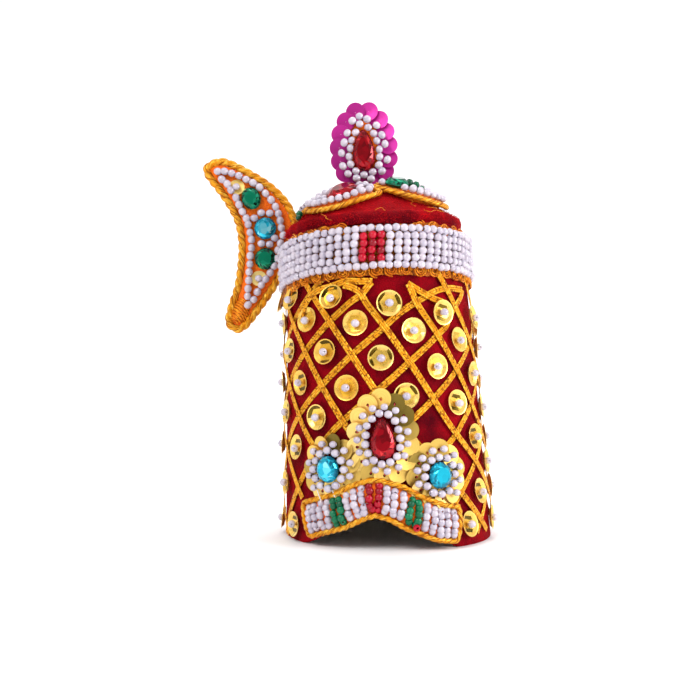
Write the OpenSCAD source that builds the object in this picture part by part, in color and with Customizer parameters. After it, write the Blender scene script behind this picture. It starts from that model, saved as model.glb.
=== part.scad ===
// Deity crown: a velvet tube and cap dressed with ribbons, sequins, beads and cut stones.
// Origin: middle of the open foot, on the floor. +Z up, -Y is the front. Millimetres.

/* [Tube and cap] */
// Outer radius of the velvet tube at its foot
tube_foot_r = 25.7; // [25.2:0.1:26.2]
// Outer radius of the velvet tube at its top
tube_top_r = 22.15; // [21.95:0.05:22.35]
// Height of the velvet tube
tube_h = 75.6; // [75:0.1:76]
// Thickness of the stiffened velvet wall
tube_wall = 1.8; // [1.2:0.1:2.4]
// Lean of the whole crown towards its left-hand ornament, in degrees
crown_lean = 2.7; // [0:0.1:3.2]
// Radius of the velvet cap at its raw edge
cap_r = 21.4; // [21:0.1:21.8]
// Thickness of the velvet cap
cap_wall = 1.6; // [1.2:0.1:2]

/* [Bead band] */
// Middle height of the bead band above the foot
band_z = 67.3; // [66.8:0.1:67.8]
// Tilt of the bead band, front up, in degrees
band_tilt = 4.9; // [3:0.1:5.5]
// Outer radius of the bead band
band_r = 24.85; // [24.6:0.05:25.2]
// Diameter of a pearl
pearl_d = 1.86; // [1.7:0.02:1.94]
// Height of one row of the band; the rows nest into each other
band_row = 1.74; // [1.66:0.02:1.8]
// Lace that shows below the bead band
lace_below = 1.5; // [0.8:0.1:2]
// Lace that shows above the bead band
lace_above = 1; // [0.6:0.1:1]

/* [Lattice] */
// Width of a ribbon
ribbon_w = 1.6; // [1.2:0.1:1.8]
// Thickness of a ribbon
ribbon_t = 0.25; // [0.2:0.05:0.25]
// Diameter of a cup sequin
sequin_d = 6; // [5:0.1:6]

/* [Arch band] */
// Width of the beaded stretch of the arch band
arch_bead_w = 5.8; // [5.2:0.1:6]
// How far the beads of the arch stand off the velvet
arch_proud = 2.8; // [2.2:0.1:3.2]
// Radius of the twisted cord round the arch band
arch_cord_r = 0.6; // [0.5:0.05:0.65]
// Azimuth where the beads of the arch begin, in degrees
arch_start = -43.5; // [-44:0.5:-43]
// Degrees that one column of beads takes
arch_column = 3.8; // [3.7:0.05:3.85]

/* [Crescent] */
// Depth of the crescent's front face behind the crown's axis
crescent_y = 8.9; // [8:0.1:10]
// Thickness of the crescent's felt
felt_t = 1.2; // [1:0.1:1.4]
// Radius of the twisted cord round the crescent
crescent_cord_r = 1.15; // [0.9:0.05:1.2]

/* [Finial] */
// Height of the middle of the upright flower's petals
finial_z = 96.7; // [96.2:0.1:97.2]
// Height of the middle of its stone
finial_stone_z = 96.2; // [95.9:0.1:96.5]
// Width of the upright flower
finial_w = 17.1; // [16:0.1:18]
// Height of the upright flower before the cap cuts off its foot
finial_h = 24.8; // [24:0.1:25]
// Thickness of the layered petals
finial_t = 1.2; // [1:0.1:1.4]
// Width of the flower's drop stone
finial_stone_w = 5.5; // [5:0.1:6]
// Height of the flower's drop stone
finial_stone_h = 10.3; // [9.6:0.1:10.5]

/* [Hidden] */
$fn = 96;
// Small space kept between neighbouring pieces
gap = 0.1;
// Distance that a cutting shape runs past what it cuts
past = 10;
pearl_r = pearl_d / 2;
cord_sides = 8;
outline_points = 72;
band_rows = 6;
band_h = (band_rows - 1) * band_row + pearl_d;
// The red block is three columns wide and leaves the top and bottom rows white
block_turn = 14.2;
block_azimuth = -0.8;
// The lace lies on the velvet and the bead band lies on the lace
lace_t = 0.6;
over_lace = gap + lace_t + gap;
// Ribbons each way round the tube, in two layers
ribbon_count = 11;
ribbon_turn = 360 / ribbon_count;
ribbon_gap = 0.15;
layer_1 = ribbon_gap;
layer_2 = layer_1 + ribbon_t + ribbon_gap;
over_ribbons = layer_2 + ribbon_t + gap;

// The lattice hangs askew: it is lower at the back, and its right side is lower than its left
back_drop = 3.3;
side_drop = 4.3;
// Heights of the rows of cup sequins from the top down. The first and the last row are only the
// ends of the ribbons and carry no sequins.
row_heights = [63.8, 57, 50.4, 43.2, 35.6, 28.1, 21, 12.9, 4.6, -4.4];
last_row = len(row_heights) - 2;
// Azimuth of the first column, and how far the columns drift above a height, in degrees per mm
first_column = -5.7;
drift_from = 28;
column_drift = 0.42;
// The lowest row makes room for the arch band's ends
foot_spread = 3.5;
beside_arch = 65;

// Arch band from the crown's left to its right: [azimuth, middle height, height of the cut hem]
ARCH_A = 0;
ARCH_MID = 1;
ARCH_HEM = 2;
arch_rows = [
    [-60, 6.2, -3], [-56, 6.2, 0.4], [-50, 6.4, 1.2], [-43, 7.1, 2.2], [-36, 7.9, 3.8], [-24, 9.3, 5.2],
    [-13, 11.5, 7.2], [-5, 12.4, 8.2], [5, 10.9, 6.6], [14, 8.4, 4.2], [27, 5.7, 1.3], [38, 4.8, 0],
    [44, 4.6, -3],
];
// Blocks of the arch band in order: [colour, columns]
arch_blocks = [["white", 4], ["green", 2], ["white", 3], ["red", 2],
               ["white", 3], ["green", 2], ["white", 5]];
arch_edge = arch_bead_w / 2 + 4.5 * gap + arch_cord_r;
arch_backing_t = 0.8;
function columns_before(i) = i == 0 ? 0 : arch_blocks[i - 1][1] + columns_before(i - 1);
arch_end = arch_start + columns_before(len(arch_blocks)) * arch_column;
// Degrees that the cord's rounded ends, the pad and the cleared zone run past the beads
arch_end_turn = 2.2;
arch_pad_turn = 1;
arch_zone_turn = 4.5;
// Degrees kept free at each end of a block of beads
block_gap_turn = 0.13;

// Medallions: [azimuth, height, width and height of the petals, number of petals,
// width and height of the stone, number of pearls]
MED_A = 0;
MED_Z = 1;
MED_W = 2;
MED_H = 3;
MED_PETALS = 4;
MED_STONE_W = 5;
MED_STONE_H = 6;
MED_PEARLS = 7;
medallion_centre_row = [0, 25.4, 16.9, 23, 14, 5.5, 9, 15];
medallion_left_row = [-28.3, 18.8, 15.6, 16.5, 11, 5.5, 6, 12];
medallion_right_row = [27.5, 16.4, 15.6, 16.5, 11, 5.5, 6, 12];
petal_r = 2.45;
petal_t = 0.5;
stone_t = 2.4;
// Size of a stone's foot and of its table as shares of its girdle
stone_foot = 0.86;
stone_table = 0.58;
pearl_ring_gap = 0.56;
// The pearls of a ring are strung on a thread
thread_r = 0.25;

// Leaves on the cap: [azimuth, distance from the axis, turn, slope, lift, stone diameter,
// places of the stone and of the green bead along the leaf]
LEAF_A = 0;
LEAF_R = 1;
LEAF_TURN = 2;
LEAF_SLOPE = 3;
LEAF_LIFT = 4;
LEAF_STONE = 5;
LEAF_STONE_X = 6;
LEAF_BEAD_X = 7;
leaf_front_row = [-31, 13.9, 14.5, 34, 1.9, 7.4, 0, -12];
leaf_right_row = [51.6, 12.2, -31, 26, 2.2, 6.2, -4.6, 0];
leaf_back_row = [158, 14.4, 0, 33, 1.9, 7.4, 0, -12];
leaf_left_row = [248, 13.8, 4, 31, 1.9, 6.2, 0, -12];
leaf_l = 20.2;
leaf_w = 10;
leaf_pad_t = 2;
// Radius that the leaves are bent to, over the dome of the cap
leaf_bend_r = 22;
// Height of the pad's face and of the cord's middle above the leaf's middle surface
leaf_face = 1;
leaf_cord_z = 0.3;
leaf_cord_r = 0.6;
tip_bead_r = 0.85;

// Crescent's edge, clockwise from its upper tip: [across, up]
crescent_edge = [
    [-43.9, 96.3], [-41.8, 98.5], [-38.4, 98.4], [-32.2, 94.9], [-26.4, 90.6], [-22.3, 85.2],
    [-20.8, 78.5], [-22.3, 72.5], [-25.6, 67.4], [-29.4, 62], [-34.6, 55.6], [-37.4, 53.8],
    [-39.7, 55.6], [-38.9, 59.6], [-36.9, 65], [-35.7, 71.4], [-35.3, 77.5], [-36.4, 83.6],
    [-39.8, 90],
];
edge_steps = 3;
// The two strings of pearls run between these points of the edge
outer_string = [2, 10];
inner_string = [13, 18];
string_inset = 1.75;
felt_inset = crescent_cord_r + gap;
// Crescent's stones: [across, up, width, height, turn]
crescent_top_row = [-32.3, 88.4, 5, 6, 40];
crescent_middle_row = [-28.8, 80.2, 5.8, 5.8, 0];
crescent_low_row = [-29.1, 72.1, 5.7, 5.7, 0];
crescent_sequin_spots = [[-36.8, 92.9], [-31.8, 65.6]];
crescent_sequin_r = 1.5;

// The flower stands in front of the axis, a little to the crown's left
finial_at = [-1.5, -3.5];
finial_petal_count = 15;
finial_pearl_count = 15;
finial_ring_gap = 0.9;

// Radius of the velvet tube's outside at a height
function wall_r(z) = tube_foot_r - (tube_foot_r - tube_top_r) * z / tube_h;
// Direction away from the axis at an azimuth counted from the front
function away(a) = [sin(a), -cos(a), 0];
function on_wall(a, z, off = 0) = (wall_r(z) + off) * away(a) + [0, 0, z];
// Height of the cap's outside at a distance from the axis
function cap_z(r) = 89.4 - 0.376 * r - 0.00765 * r * r;
function unit(v) = v / norm(v);
function oval(w, h, count) =
    [for (k = [0:count - 1]) [w / 2 * cos(360 * k / count), h / 2 * sin(360 * k / count)]];
function circle_section(r) = oval(2 * r, 2 * r, cord_sides);
// Drop with a point at the top
function drop(w, h, count) =
    [for (k = [0:count - 1]) let (t = 360 * k / count + 90)
        [w / 2 * cos(t) * (1 - 0.3 * sin(t)) / 1.04, h / 2 * sin(t)]];

// Catmull-Rom curve through the corners of a closed outline
function blend(a, b, c, d, t) =
    0.5 * (2 * b + (c - a) * t + (2 * a - 5 * b + 4 * c - d) * t * t
        + (3 * b - a - 3 * c + d) * t * t * t);
function smooth_loop(ends, steps) =
    let (n = len(ends))
    [for (i = [0:n - 1]) for (s = [0:steps - 1])
        blend(ends[(i + n - 1) % n], ends[i], ends[(i + 1) % n], ends[(i + 2) % n], s / steps)];
// Point of a clockwise loop moved inwards
function inset_point(path, i, by) =
    let (n = len(path), along = unit(path[(i + 1) % n] - path[(i + n - 1) % n]))
    path[i] + by * [along[1], -along[0]];
// Points at even distances along a closed loop
function run_lengths(path) =
    let (n = len(path))
    [for (i = 0, s = 0; i <= n; s = s + norm(path[(i + 1) % n] - path[i % n]), i = i + 1) s];
function evenly(path, count) =
    let (n = len(path), runs = run_lengths(path),
         xs = [for (i = [0:n]) [runs[i], path[i % n][0]]],
         ys = [for (i = [0:n]) [runs[i], path[i % n][1]]])
    [for (k = [0:count - 1]) [lookup(runs[n] * k / count, xs), lookup(runs[n] * k / count, ys)]];

// Closed skin swept along a path; the section is listed as [outwards, sideways]
module sweep(path, outward, section, closed = false, swell = [1]) {
    n = len(path);
    m = len(section);
    points = [
        for (i = [0:n - 1])
            let (
                before = path[closed ? (i + n - 1) % n : max(i - 1, 0)],
                after = path[closed ? (i + 1) % n : min(i + 1, n - 1)],
                along = unit(after - before),
                side = unit(cross(outward[i], along)),
                up = cross(along, side)
            )
            for (p = section) path[i] + p[0] * swell[i % len(swell)] * up + p[1] * side
    ];
    skin = [
        for (i = [0:(closed ? n : n - 1) - 1]) for (k = [0:m - 1])
            let (next = (i + 1) % n, turn = (k + 1) % m)
            each [[i * m + k, i * m + turn, next * m + turn], [i * m + k, next * m + turn, next * m + k]]
    ];
    caps = closed ? [] : [[for (k = [0:m - 1]) m - 1 - k], [for (k = [0:m - 1]) (n - 1) * m + k]];
    polyhedron(points, concat(skin, caps));
}

module leaned() {
    rotate([0, -crown_lean, 0]) children();
}

// Everything above the floor, in the crown's leaning frame
module above_floor(clear = 0) {
    rotate([0, crown_lean, 0]) translate([-100, -100, clear]) cube([200, 200, 200]);
}

// Places its children on the tube: X across, Y up the wall, Z outwards
module at_wall(a, z, off = 0) {
    translate(on_wall(a, z, off)) rotate([0, 0, a])
        rotate([90 - atan((tube_foot_r - tube_top_r) / tube_h), 0, 0]) children();
}

// Layer that wraps the tube between two distances from the velvet
module wall_layer(from, to) {
    difference() {
        cylinder(h = tube_h, r1 = tube_foot_r + to, r2 = tube_top_r + to);
        translate([0, 0, -1])
            cylinder(h = tube_h + 2, r1 = wall_r(-1) + from, r2 = wall_r(tube_h + 1) + from);
    }
}

// Places its children in the tilted frame of the bead band
module at_band() {
    translate([0, 0, band_z]) rotate([-band_tilt, 0, 0]) children();
}

// Stone with a 16-sided girdle, a flat foot and an 8-sided table
module cut_stone(girdle, table) {
    slice = 0.1 * stone_t;
    hull() {
        linear_extrude(slice) polygon(stone_foot * girdle);
        translate([0, 0, 3 * slice]) linear_extrude(slice) polygon(girdle);
        translate([0, 0, 9 * slice]) linear_extrude(slice) polygon(stone_table * table);
    }
}

module drop_stone(w, h) {
    color("crimson") cut_stone(drop(w, h, 16), drop(w, h, 8));
}

module oval_stone(w, h, colour) {
    color(colour) cut_stone(oval(w, h, 16), oval(w, h, 8));
}

function arch_z(a, column) = lookup(a, [for (row = arch_rows) [row[ARCH_A], row[column]]]);
// Everything in front of the axis and below a line of the front view
module below_line(line) {
    rotate([90, 0, 0]) linear_extrude(tube_foot_r + past)
        polygon(concat(line, [[line[len(line) - 1][0], -past], [line[0][0], -past]]));
}

// What is cut away under the arched front hem
module arch_cut() {
    first = arch_rows[0][ARCH_A];
    last = arch_rows[len(arch_rows) - 1][ARCH_A];
    below_line([for (a = [first:2:last]) [wall_r(0) * sin(a), arch_z(a, ARCH_HEM)]]);
}

module velvet_tube() {
    color("firebrick") leaned() intersection() {
        difference() {
            translate([0, 0, -2]) cylinder(h = tube_h + 2, r1 = wall_r(-2), r2 = tube_top_r);
            translate([0, 0, -3])
                cylinder(h = tube_h + 4, r1 = wall_r(-3) - tube_wall, r2 = wall_r(tube_h + 1) - tube_wall);
            arch_cut();
        }
        above_floor();
    }
}

module velvet_cap() {
    seat = tube_h + gap;
    inner_r = cap_r - tube_wall;
    // The wall is measured straight down here, so it is a little more than its thickness
    drop = 1.15 * cap_wall;
    outside = [for (k = [0:10]) let (r = cap_r * k / 10) [r, cap_z(r)]];
    inside = [for (k = [10:-1:0]) let (r = inner_r * k / 10) [r, cap_z(r) - drop]];
    color("firebrick") leaned() rotate_extrude()
        polygon(concat(outside, [[cap_r, seat], [inner_r, seat]], inside));
}

module lace_band() {
    color("goldenrod") leaned() intersection() {
        wall_layer(gap, gap + lace_t);
        at_band() translate([0, 0, -band_h / 2 - lace_below])
            cylinder(h = band_h + lace_below + lace_above, r = tube_foot_r + past);
    }
}

function row_middle(row) = (row + 0.5 - band_rows / 2) * band_row;
// Profile of the bead rows from one row to another
module bead_rows(first, last) {
    back = tube_top_r - 1;
    low = row_middle(first) - pearl_r;
    high = row_middle(last) + pearl_r;
    translate([back, low]) square([band_r - pearl_r - back, high - low]);
    for (row = [first:last]) translate([band_r - pearl_r, row_middle(row)]) circle(r = pearl_r, $fn = 48);
}

// Velvet tube and lace, up past the bead band
module band_core() {
    cylinder(h = tube_h + past, r1 = tube_foot_r + over_lace, r2 = wall_r(tube_h + past) + over_lace);
}

module red_block_wedge(extra) {
    turn = block_turn + 2 * extra;
    rotate([0, 0, block_azimuth - 90 - turn / 2]) rotate_extrude(angle = turn) children();
}

module pearl_band() {
    color("white") leaned() difference() {
        at_band() rotate_extrude() bead_rows(0, band_rows - 1);
        at_band() red_block_wedge(0.25) translate([tube_top_r - 2, row_middle(1) - pearl_r - gap])
            square([past, row_middle(4) - row_middle(1) + pearl_d + 2 * gap]);
        band_core();
    }
}

module red_bead_block() {
    color("red") leaned() difference() {
        at_band() red_block_wedge(0) bead_rows(1, band_rows - 2);
        band_core();
    }
}

function row_z(level, a) =
    let (z = lookup(level, [for (i = [0:last_row + 1]) [i, row_heights[i]]]))
    z - back_drop * pow((1 - cos(a)) / 2, 1.3) * max(z, 0) / band_z
        - side_drop * sin(a) * min(1, z / drift_from);
function drift(z) = max(0, (z - drift_from) * column_drift);
function column_azimuth(k) = first_column + ribbon_turn * k;

module ribbon(k, way, layer) {
    levels = [for (level = [0.15:0.5:9.15]) level];
    spots = [
        for (level = levels)
            let (a = column_azimuth(k + way * level / 2), z = row_z(level, a))
            [a + drift(z), z]
    ];
    section = [[layer, -ribbon_w / 2], [layer + ribbon_t, -ribbon_w / 2],
               [layer + ribbon_t, ribbon_w / 2], [layer, ribbon_w / 2]];
    sweep([for (s = spots) on_wall(s[0], s[1])], [for (s = spots) away(s[0])], section);
}

// Front zone that the arch band covers
module arch_zone(extra) {
    r = wall_r(10) + 1;
    half = arch_edge + arch_cord_r + extra;
    below_line([for (a = [arch_start - arch_zone_turn:2:arch_end + arch_zone_turn])
        [r * sin(a), arch_z(a, ARCH_MID) + half]]);
}

// Zone that the lace and the bead band cover
module under_lace() {
    at_band() translate([0, 0, -band_h / 2 - lace_below - 2 * gap])
        cylinder(h = tube_h, r = tube_foot_r + past);
}

module lattice(way, layer) {
    color("gold") leaned() intersection() {
        difference() {
            for (k = [0:ribbon_count - 1]) ribbon(k, way, layer);
            under_lace();
            arch_zone(0.2);
        }
        above_floor(0.3);
    }
}

module lattice_left() {
    lattice(-1, layer_1);
}

module lattice_right() {
    lattice(1, layer_2);
}

// Height of the lower edge of the lace at an azimuth
function lace_foot(a) = band_z - band_h / 2 - lace_below + wall_r(band_z) * sin(band_tilt) * cos(a);
// The diamond between the medallions carries no sequin
bare_diamond = [25, 26];
function in_bare_diamond(a, z) = norm([a, z] - bare_diamond) < 4;
// Whether a medallion or the arch band covers a place on the tube
function under_medallion(a, z, row) =
    norm([2 * wall_r(z) * sin(a - row[MED_A]) / row[MED_W], 2 * (z - row[MED_Z]) / row[MED_H]]) < 1;
function under_arch(a, z) =
    a > arch_start && a < arch_end + arch_zone_turn && z < arch_z(a, ARCH_MID) + arch_edge + sequin_d / 2;
function is_bare(a, z) =
    abs(a) < 90 && (under_arch(a, z) || in_bare_diamond(a, z) || under_medallion(a, z, medallion_centre_row)
        || under_medallion(a, z, medallion_left_row) || under_medallion(a, z, medallion_right_row));
// The lowest sequins keep clear of the leaning foot
function above_foot(a, z) = max(z, sequin_d / 2 + 0.5 - wall_r(0) * sin(a) * tan(crown_lean));
function spread(row, a) = row == last_row && abs(a) < beside_arch ? a + foot_spread * sign(a) : a;
sequin_spots = [
    for (row = [1:last_row]) for (k = [0:ribbon_count - 1])
        let (column = column_azimuth(k + (row % 2 == 0 ? 0.5 : 0)),
             turned = column > 180 ? column - 360 : column,
             z = above_foot(turned, row_z(row, turned)),
             a = spread(row, turned) + drift(z))
        if (z < lace_foot(a) && !is_bare(a, z)) [a, z]
];

// Cup sequin of radius 1: a flat floor and a flared rim
cup_floor_t = 0.07;
cup_profile = [[0, 0], [0.42, 0], [1, 0.3], [1, 0.36], [0.95, 0.36], [0.4, cup_floor_t], [0, cup_floor_t]];
module cup(r) {
    rotate_extrude() polygon(r * cup_profile);
}

module body_sequins() {
    color("gold") leaned() difference() {
        for (s = sequin_spots) at_wall(s[0], s[1], gap) cup(sequin_d / 2);
        under_lace();
    }
}

module sequin_pearls() {
    color("white") leaned() for (s = sequin_spots) if (s[1] < lace_foot(s[0]) - pearl_r - 2 * gap)
        at_wall(s[0], s[1], 2 * gap + cup_floor_t * sequin_d / 2 + pearl_r) sphere(pearl_r, $fn = 24);
}

// Point of the arch band: azimuth, distance across the band and off the velvet
function arch_middle(a) = on_wall(a, arch_z(a, ARCH_MID));
function arch_point(a, across, off) =
    let (along = unit(arch_middle(a + 2) - arch_middle(a - 2)))
    arch_middle(a) + off * away(a) + across * unit(cross(away(a), along));

module arch_backing() {
    first = arch_start - arch_pad_turn;
    turn = arch_end - arch_start + 2 * arch_pad_turn;
    angles = [for (i = [0:20]) first + i * turn / 20];
    w = arch_edge;
    color("darkorange") leaned() sweep(
        [for (a = angles) arch_middle(a)], [for (a = angles) away(a)],
        [[2 * gap, -w], [arch_backing_t, -w], [arch_backing_t, w], [2 * gap, w]]);
}

// Blocks of one colour; their surface swells over each column of beads
module arch_beads(colour) {
    half = arch_bead_w / 2;
    low = arch_backing_t + gap;
    section = [[low, -half], [0.6 * arch_proud, -half], [0.88 * arch_proud, -0.6 * half], [arch_proud, 0],
               [0.88 * arch_proud, 0.6 * half], [0.6 * arch_proud, half], [low, half]];
    color(colour) leaned() for (i = [0:len(arch_blocks) - 1]) if (arch_blocks[i][0] == colour) {
        columns = arch_blocks[i][1];
        first = arch_start + arch_column * columns_before(i) + block_gap_turn;
        turn = arch_column * columns - 2 * block_gap_turn;
        angles = [for (k = [0:2 * columns]) first + turn * k / (2 * columns)];
        sweep([for (a = angles) arch_middle(a)], [for (a = angles) away(a)], section, swell = [1, 1.07]);
    }
}

module arch_beads_white() {
    arch_beads("white");
}

module arch_beads_green() {
    arch_beads("green");
}

module arch_beads_red() {
    arch_beads("red");
}

module arch_cord() {
    off = arch_backing_t + gap + arch_cord_r;
    steps = 22;
    // The cord runs along the top edge, round the end, back along the lower edge and round
    top = [for (i = [0:steps]) [arch_start + i * (arch_end - arch_start) / steps, arch_edge]];
    right = [for (t = [45:45:135]) [arch_end + arch_end_turn * sin(t), arch_edge * cos(t)]];
    low = [for (i = [steps:-1:0]) [arch_start + i * (arch_end - arch_start) / steps, -arch_edge]];
    left = [for (t = [225:45:315]) [arch_start + arch_end_turn * sin(t), arch_edge * cos(t)]];
    loop = concat(top, right, low, left);
    color("orange") leaned() sweep(
        [for (p = loop) arch_point(p[0], p[1], off)], [for (p = loop) away(p[0])],
        circle_section(arch_cord_r), closed = true);
}

// Petals overlap round an oval
module petal_outline(w, h, count, extra = 0) {
    middles = oval(w - 2 * petal_r, h - 2 * petal_r, outline_points);
    for (p = evenly(middles, count)) translate(p) circle(r = petal_r + extra, $fn = 32);
    polygon(middles);
}

module petal_prism(row, extra = 0) {
    at_wall(row[MED_A], row[MED_Z]) translate([0, 0, -past]) linear_extrude(2 * past)
        petal_outline(row[MED_W], row[MED_H], row[MED_PETALS], extra);
}

// One curved plate, cut to clear the arch band and the cup sequins beside it
module medallion_petals(row) {
    color("gold") leaned() difference() {
        intersection() {
            wall_layer(over_ribbons, over_ribbons + petal_t);
            petal_prism(row);
        }
        arch_zone(0.7);
        for (s = sequin_spots)
            if (abs(s[0] - row[MED_A]) < 28 && abs(s[1] - row[MED_Z]) < 14)
                at_wall(s[0], s[1]) cylinder(h = past, r = sequin_d / 2 + 2 * gap);
        if (row[MED_A] != 0) petal_prism(medallion_centre_row, 2 * gap);
    }
}

module rod(from, to) {
    along = to - from;
    translate(from) rotate([0, acos(along[2] / norm(along)), atan2(along[1], along[0])])
        cylinder(h = norm(along), r = thread_r, $fn = 12);
}

// Ring of pearls on a thread
module strung_pearls(middles) {
    color("white") for (i = [0:len(middles) - 1]) {
        translate(middles[i]) sphere(pearl_r, $fn = 24);
        rod(middles[i], middles[(i + 1) % len(middles)]);
    }
}

module medallion_pearls(row) {
    extra = pearl_d + pearl_ring_gap;
    ring = oval(row[MED_STONE_W] + extra, row[MED_STONE_H] + extra, outline_points);
    leaned() strung_pearls([
        for (p = evenly(ring, row[MED_PEARLS]))
            let (z = row[MED_Z] + p[1], a = row[MED_A] + asin(p[0] / (wall_r(z) + over_ribbons)))
            on_wall(a, z, over_ribbons + petal_t + gap + pearl_r)
    ]);
}

// Places a stone on a medallion's petals
module at_medallion(row) {
    leaned() at_wall(row[MED_A], row[MED_Z], over_ribbons + petal_t + gap) children();
}

module aqua_stone(row) {
    at_medallion(row) oval_stone(row[MED_STONE_W], row[MED_STONE_H], "deepskyblue");
}

module medallion_centre_petals() {
    medallion_petals(medallion_centre_row);
}

module medallion_centre_pearls() {
    medallion_pearls(medallion_centre_row);
}

module medallion_centre_stone() {
    row = medallion_centre_row;
    at_medallion(row) drop_stone(row[MED_STONE_W], row[MED_STONE_H]);
}

module medallion_left_petals() {
    medallion_petals(medallion_left_row);
}

module medallion_left_pearls() {
    medallion_pearls(medallion_left_row);
}

module medallion_left_stone() {
    aqua_stone(medallion_left_row);
}

module medallion_right_petals() {
    medallion_petals(medallion_right_row);
}

module medallion_right_pearls() {
    medallion_pearls(medallion_right_row);
}

module medallion_right_stone() {
    aqua_stone(medallion_right_row);
}

edge_loop = smooth_loop(crescent_edge, edge_steps);
// Places its children on the crescent's front face: X across, Y up, Z to the front
module on_crescent(x, z, off = 0) {
    leaned() translate([x, crescent_y - off, z]) rotate([90, 0, 0]) children();
}

// What the crescent makes room for: the bead band, the lace and the cap's edge
module crown_side(clear) {
    at_band() translate([0, 0, -band_h / 2 - lace_below - clear])
        cylinder(h = band_h + lace_below + lace_above + 2 * clear, r = band_r + clear);
    cylinder(h = tube_h, r1 = tube_foot_r + clear, r2 = tube_top_r + clear);
    cylinder(h = cap_z(cap_r) + clear, r = cap_r + clear);
}

module crescent_felt() {
    outline = [for (i = [0:len(edge_loop) - 1]) inset_point(edge_loop, i, felt_inset)];
    color("darkorange") leaned() difference() {
        translate([0, crescent_y + felt_t, 0]) rotate([90, 0, 0]) linear_extrude(felt_t) polygon(outline);
        crown_side(0.15);
    }
}

module crescent_cord() {
    y = crescent_y + felt_t / 2;
    color("orange") leaned() difference() {
        sweep([for (p = edge_loop) [p[0], y, p[1]]], [for (p = edge_loop) [0, -1, 0]],
              circle_section(crescent_cord_r), closed = true);
        crown_side(0.15);
    }
}

module crescent_string(ends) {
    y = crescent_y - gap - pearl_r;
    path = [for (i = [ends[0] * edge_steps:ends[1] * edge_steps])
        let (p = inset_point(edge_loop, i, string_inset)) [p[0], y, p[1]]];
    sweep(path, [for (p = path) [0, -1, 0]], circle_section(pearl_r));
}

module crescent_pearls() {
    color("white") leaned() difference() {
        union() {
            crescent_string(outer_string);
            crescent_string(inner_string);
        }
        crown_side(0.15);
    }
}

module crescent_sequins() {
    color("gold") for (spot = crescent_sequin_spots)
        on_crescent(spot[0], spot[1], gap) cup(crescent_sequin_r);
}

module crescent_stone(row, colour) {
    on_crescent(row[0], row[1], gap) rotate([0, 0, row[4]]) oval_stone(row[2], row[3], colour);
}

module crescent_stone_top() {
    crescent_stone(crescent_top_row, "seagreen");
}

module crescent_stone_middle() {
    crescent_stone(crescent_middle_row, "deepskyblue");
}

module crescent_stone_low() {
    crescent_stone(crescent_low_row, "seagreen");
}

// Places its children on a leaf's middle: X along the leaf, Y towards the axis, Z outwards
module at_leaf(row) {
    leaned() rotate([0, 0, row[LEAF_A]]) translate([0, -row[LEAF_R], cap_z(row[LEAF_R])])
        rotate([row[LEAF_SLOPE], 0, 0]) translate([0, 0, row[LEAF_LIFT]])
        rotate([0, 0, row[LEAF_TURN]]) children();
}

// Leaf outline between two arcs that meet at its tips
module leaf_outline(l, w) {
    r = (l * l + w * w) / (4 * w);
    intersection() {
        translate([0, w / 2 - r]) circle(r);
        translate([0, r - w / 2]) circle(r);
    }
}

// The same outline as a list of points
function leaf_path(l, w) =
    let (r = (l * l + w * w) / (4 * w), turn = asin(l / 2 / r))
    concat(
        [for (i = [-5:5]) [r * sin(turn * i / 5), r * cos(turn * i / 5) - r + w / 2]],
        [for (i = [4:-1:-4]) [r * sin(turn * i / 5), r - w / 2 - r * cos(turn * i / 5)]]);

// Places its children on the leaf's bent surface, some way along it and off it
module at_bend(along, off) {
    translate([0, 0, -leaf_bend_r]) rotate([0, along / leaf_bend_r * 180 / PI, 0])
        translate([0, 0, leaf_bend_r + off]) children();
}

module leaf_pad(row) {
    outer_r = leaf_bend_r + leaf_face;
    color("darkorange") at_leaf(row) intersection() {
        translate([0, 0, -past]) linear_extrude(2 * past)
            leaf_outline(leaf_l - 4.4 * leaf_cord_r, leaf_w - 2.2 * leaf_cord_r);
        translate([0, leaf_w, -leaf_bend_r]) rotate([90, 0, 0]) linear_extrude(2 * leaf_w) difference() {
            circle(outer_r);
            circle(outer_r - leaf_pad_t);
        }
    }
}

module leaf_cord(row) {
    loop = leaf_path(leaf_l, leaf_w);
    turns = [for (p = loop) p[0] / leaf_bend_r * 180 / PI];
    r = leaf_bend_r + leaf_cord_z;
    path = [for (i = [0:len(loop) - 1]) [r * sin(turns[i]), loop[i][1], r * cos(turns[i]) - leaf_bend_r]];
    color("orange") at_leaf(row) sweep(
        path, [for (t = turns) [sin(t), 0, cos(t)]], circle_section(leaf_cord_r - gap), closed = true);
}

module leaf_stone(row, colour) {
    at_leaf(row) at_bend(row[LEAF_STONE_X], leaf_face + gap)
        oval_stone(row[LEAF_STONE], row[LEAF_STONE], colour);
}

module leaf_pad_front() {
    leaf_pad(leaf_front_row);
}

module leaf_cord_front() {
    leaf_cord(leaf_front_row);
}

module leaf_stone_front() {
    leaf_stone(leaf_front_row, "crimson");
}

module leaf_pad_right() {
    leaf_pad(leaf_right_row);
}

module leaf_cord_right() {
    leaf_cord(leaf_right_row);
}

module leaf_stone_right() {
    leaf_stone(leaf_right_row, "seagreen");
}

module leaf_pad_back() {
    leaf_pad(leaf_back_row);
}

module leaf_cord_back() {
    leaf_cord(leaf_back_row);
}

module leaf_stone_back() {
    leaf_stone(leaf_back_row, "crimson");
}

module leaf_pad_left() {
    leaf_pad(leaf_left_row);
}

module leaf_cord_left() {
    leaf_cord(leaf_left_row);
}

module leaf_stone_left() {
    leaf_stone(leaf_left_row, "seagreen");
}

// One green bead is sewn to each leaf, beyond its tip or on its face
module leaf_tip_beads() {
    color("green") for (row = [leaf_front_row, leaf_right_row, leaf_back_row, leaf_left_row]) {
        along = row[LEAF_BEAD_X];
        off = abs(along) > leaf_l / 2 ? tip_bead_r : leaf_face + gap + tip_bead_r;
        at_leaf(row) at_bend(along, off) sphere(tip_bead_r, $fn = 24);
    }
}

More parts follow.
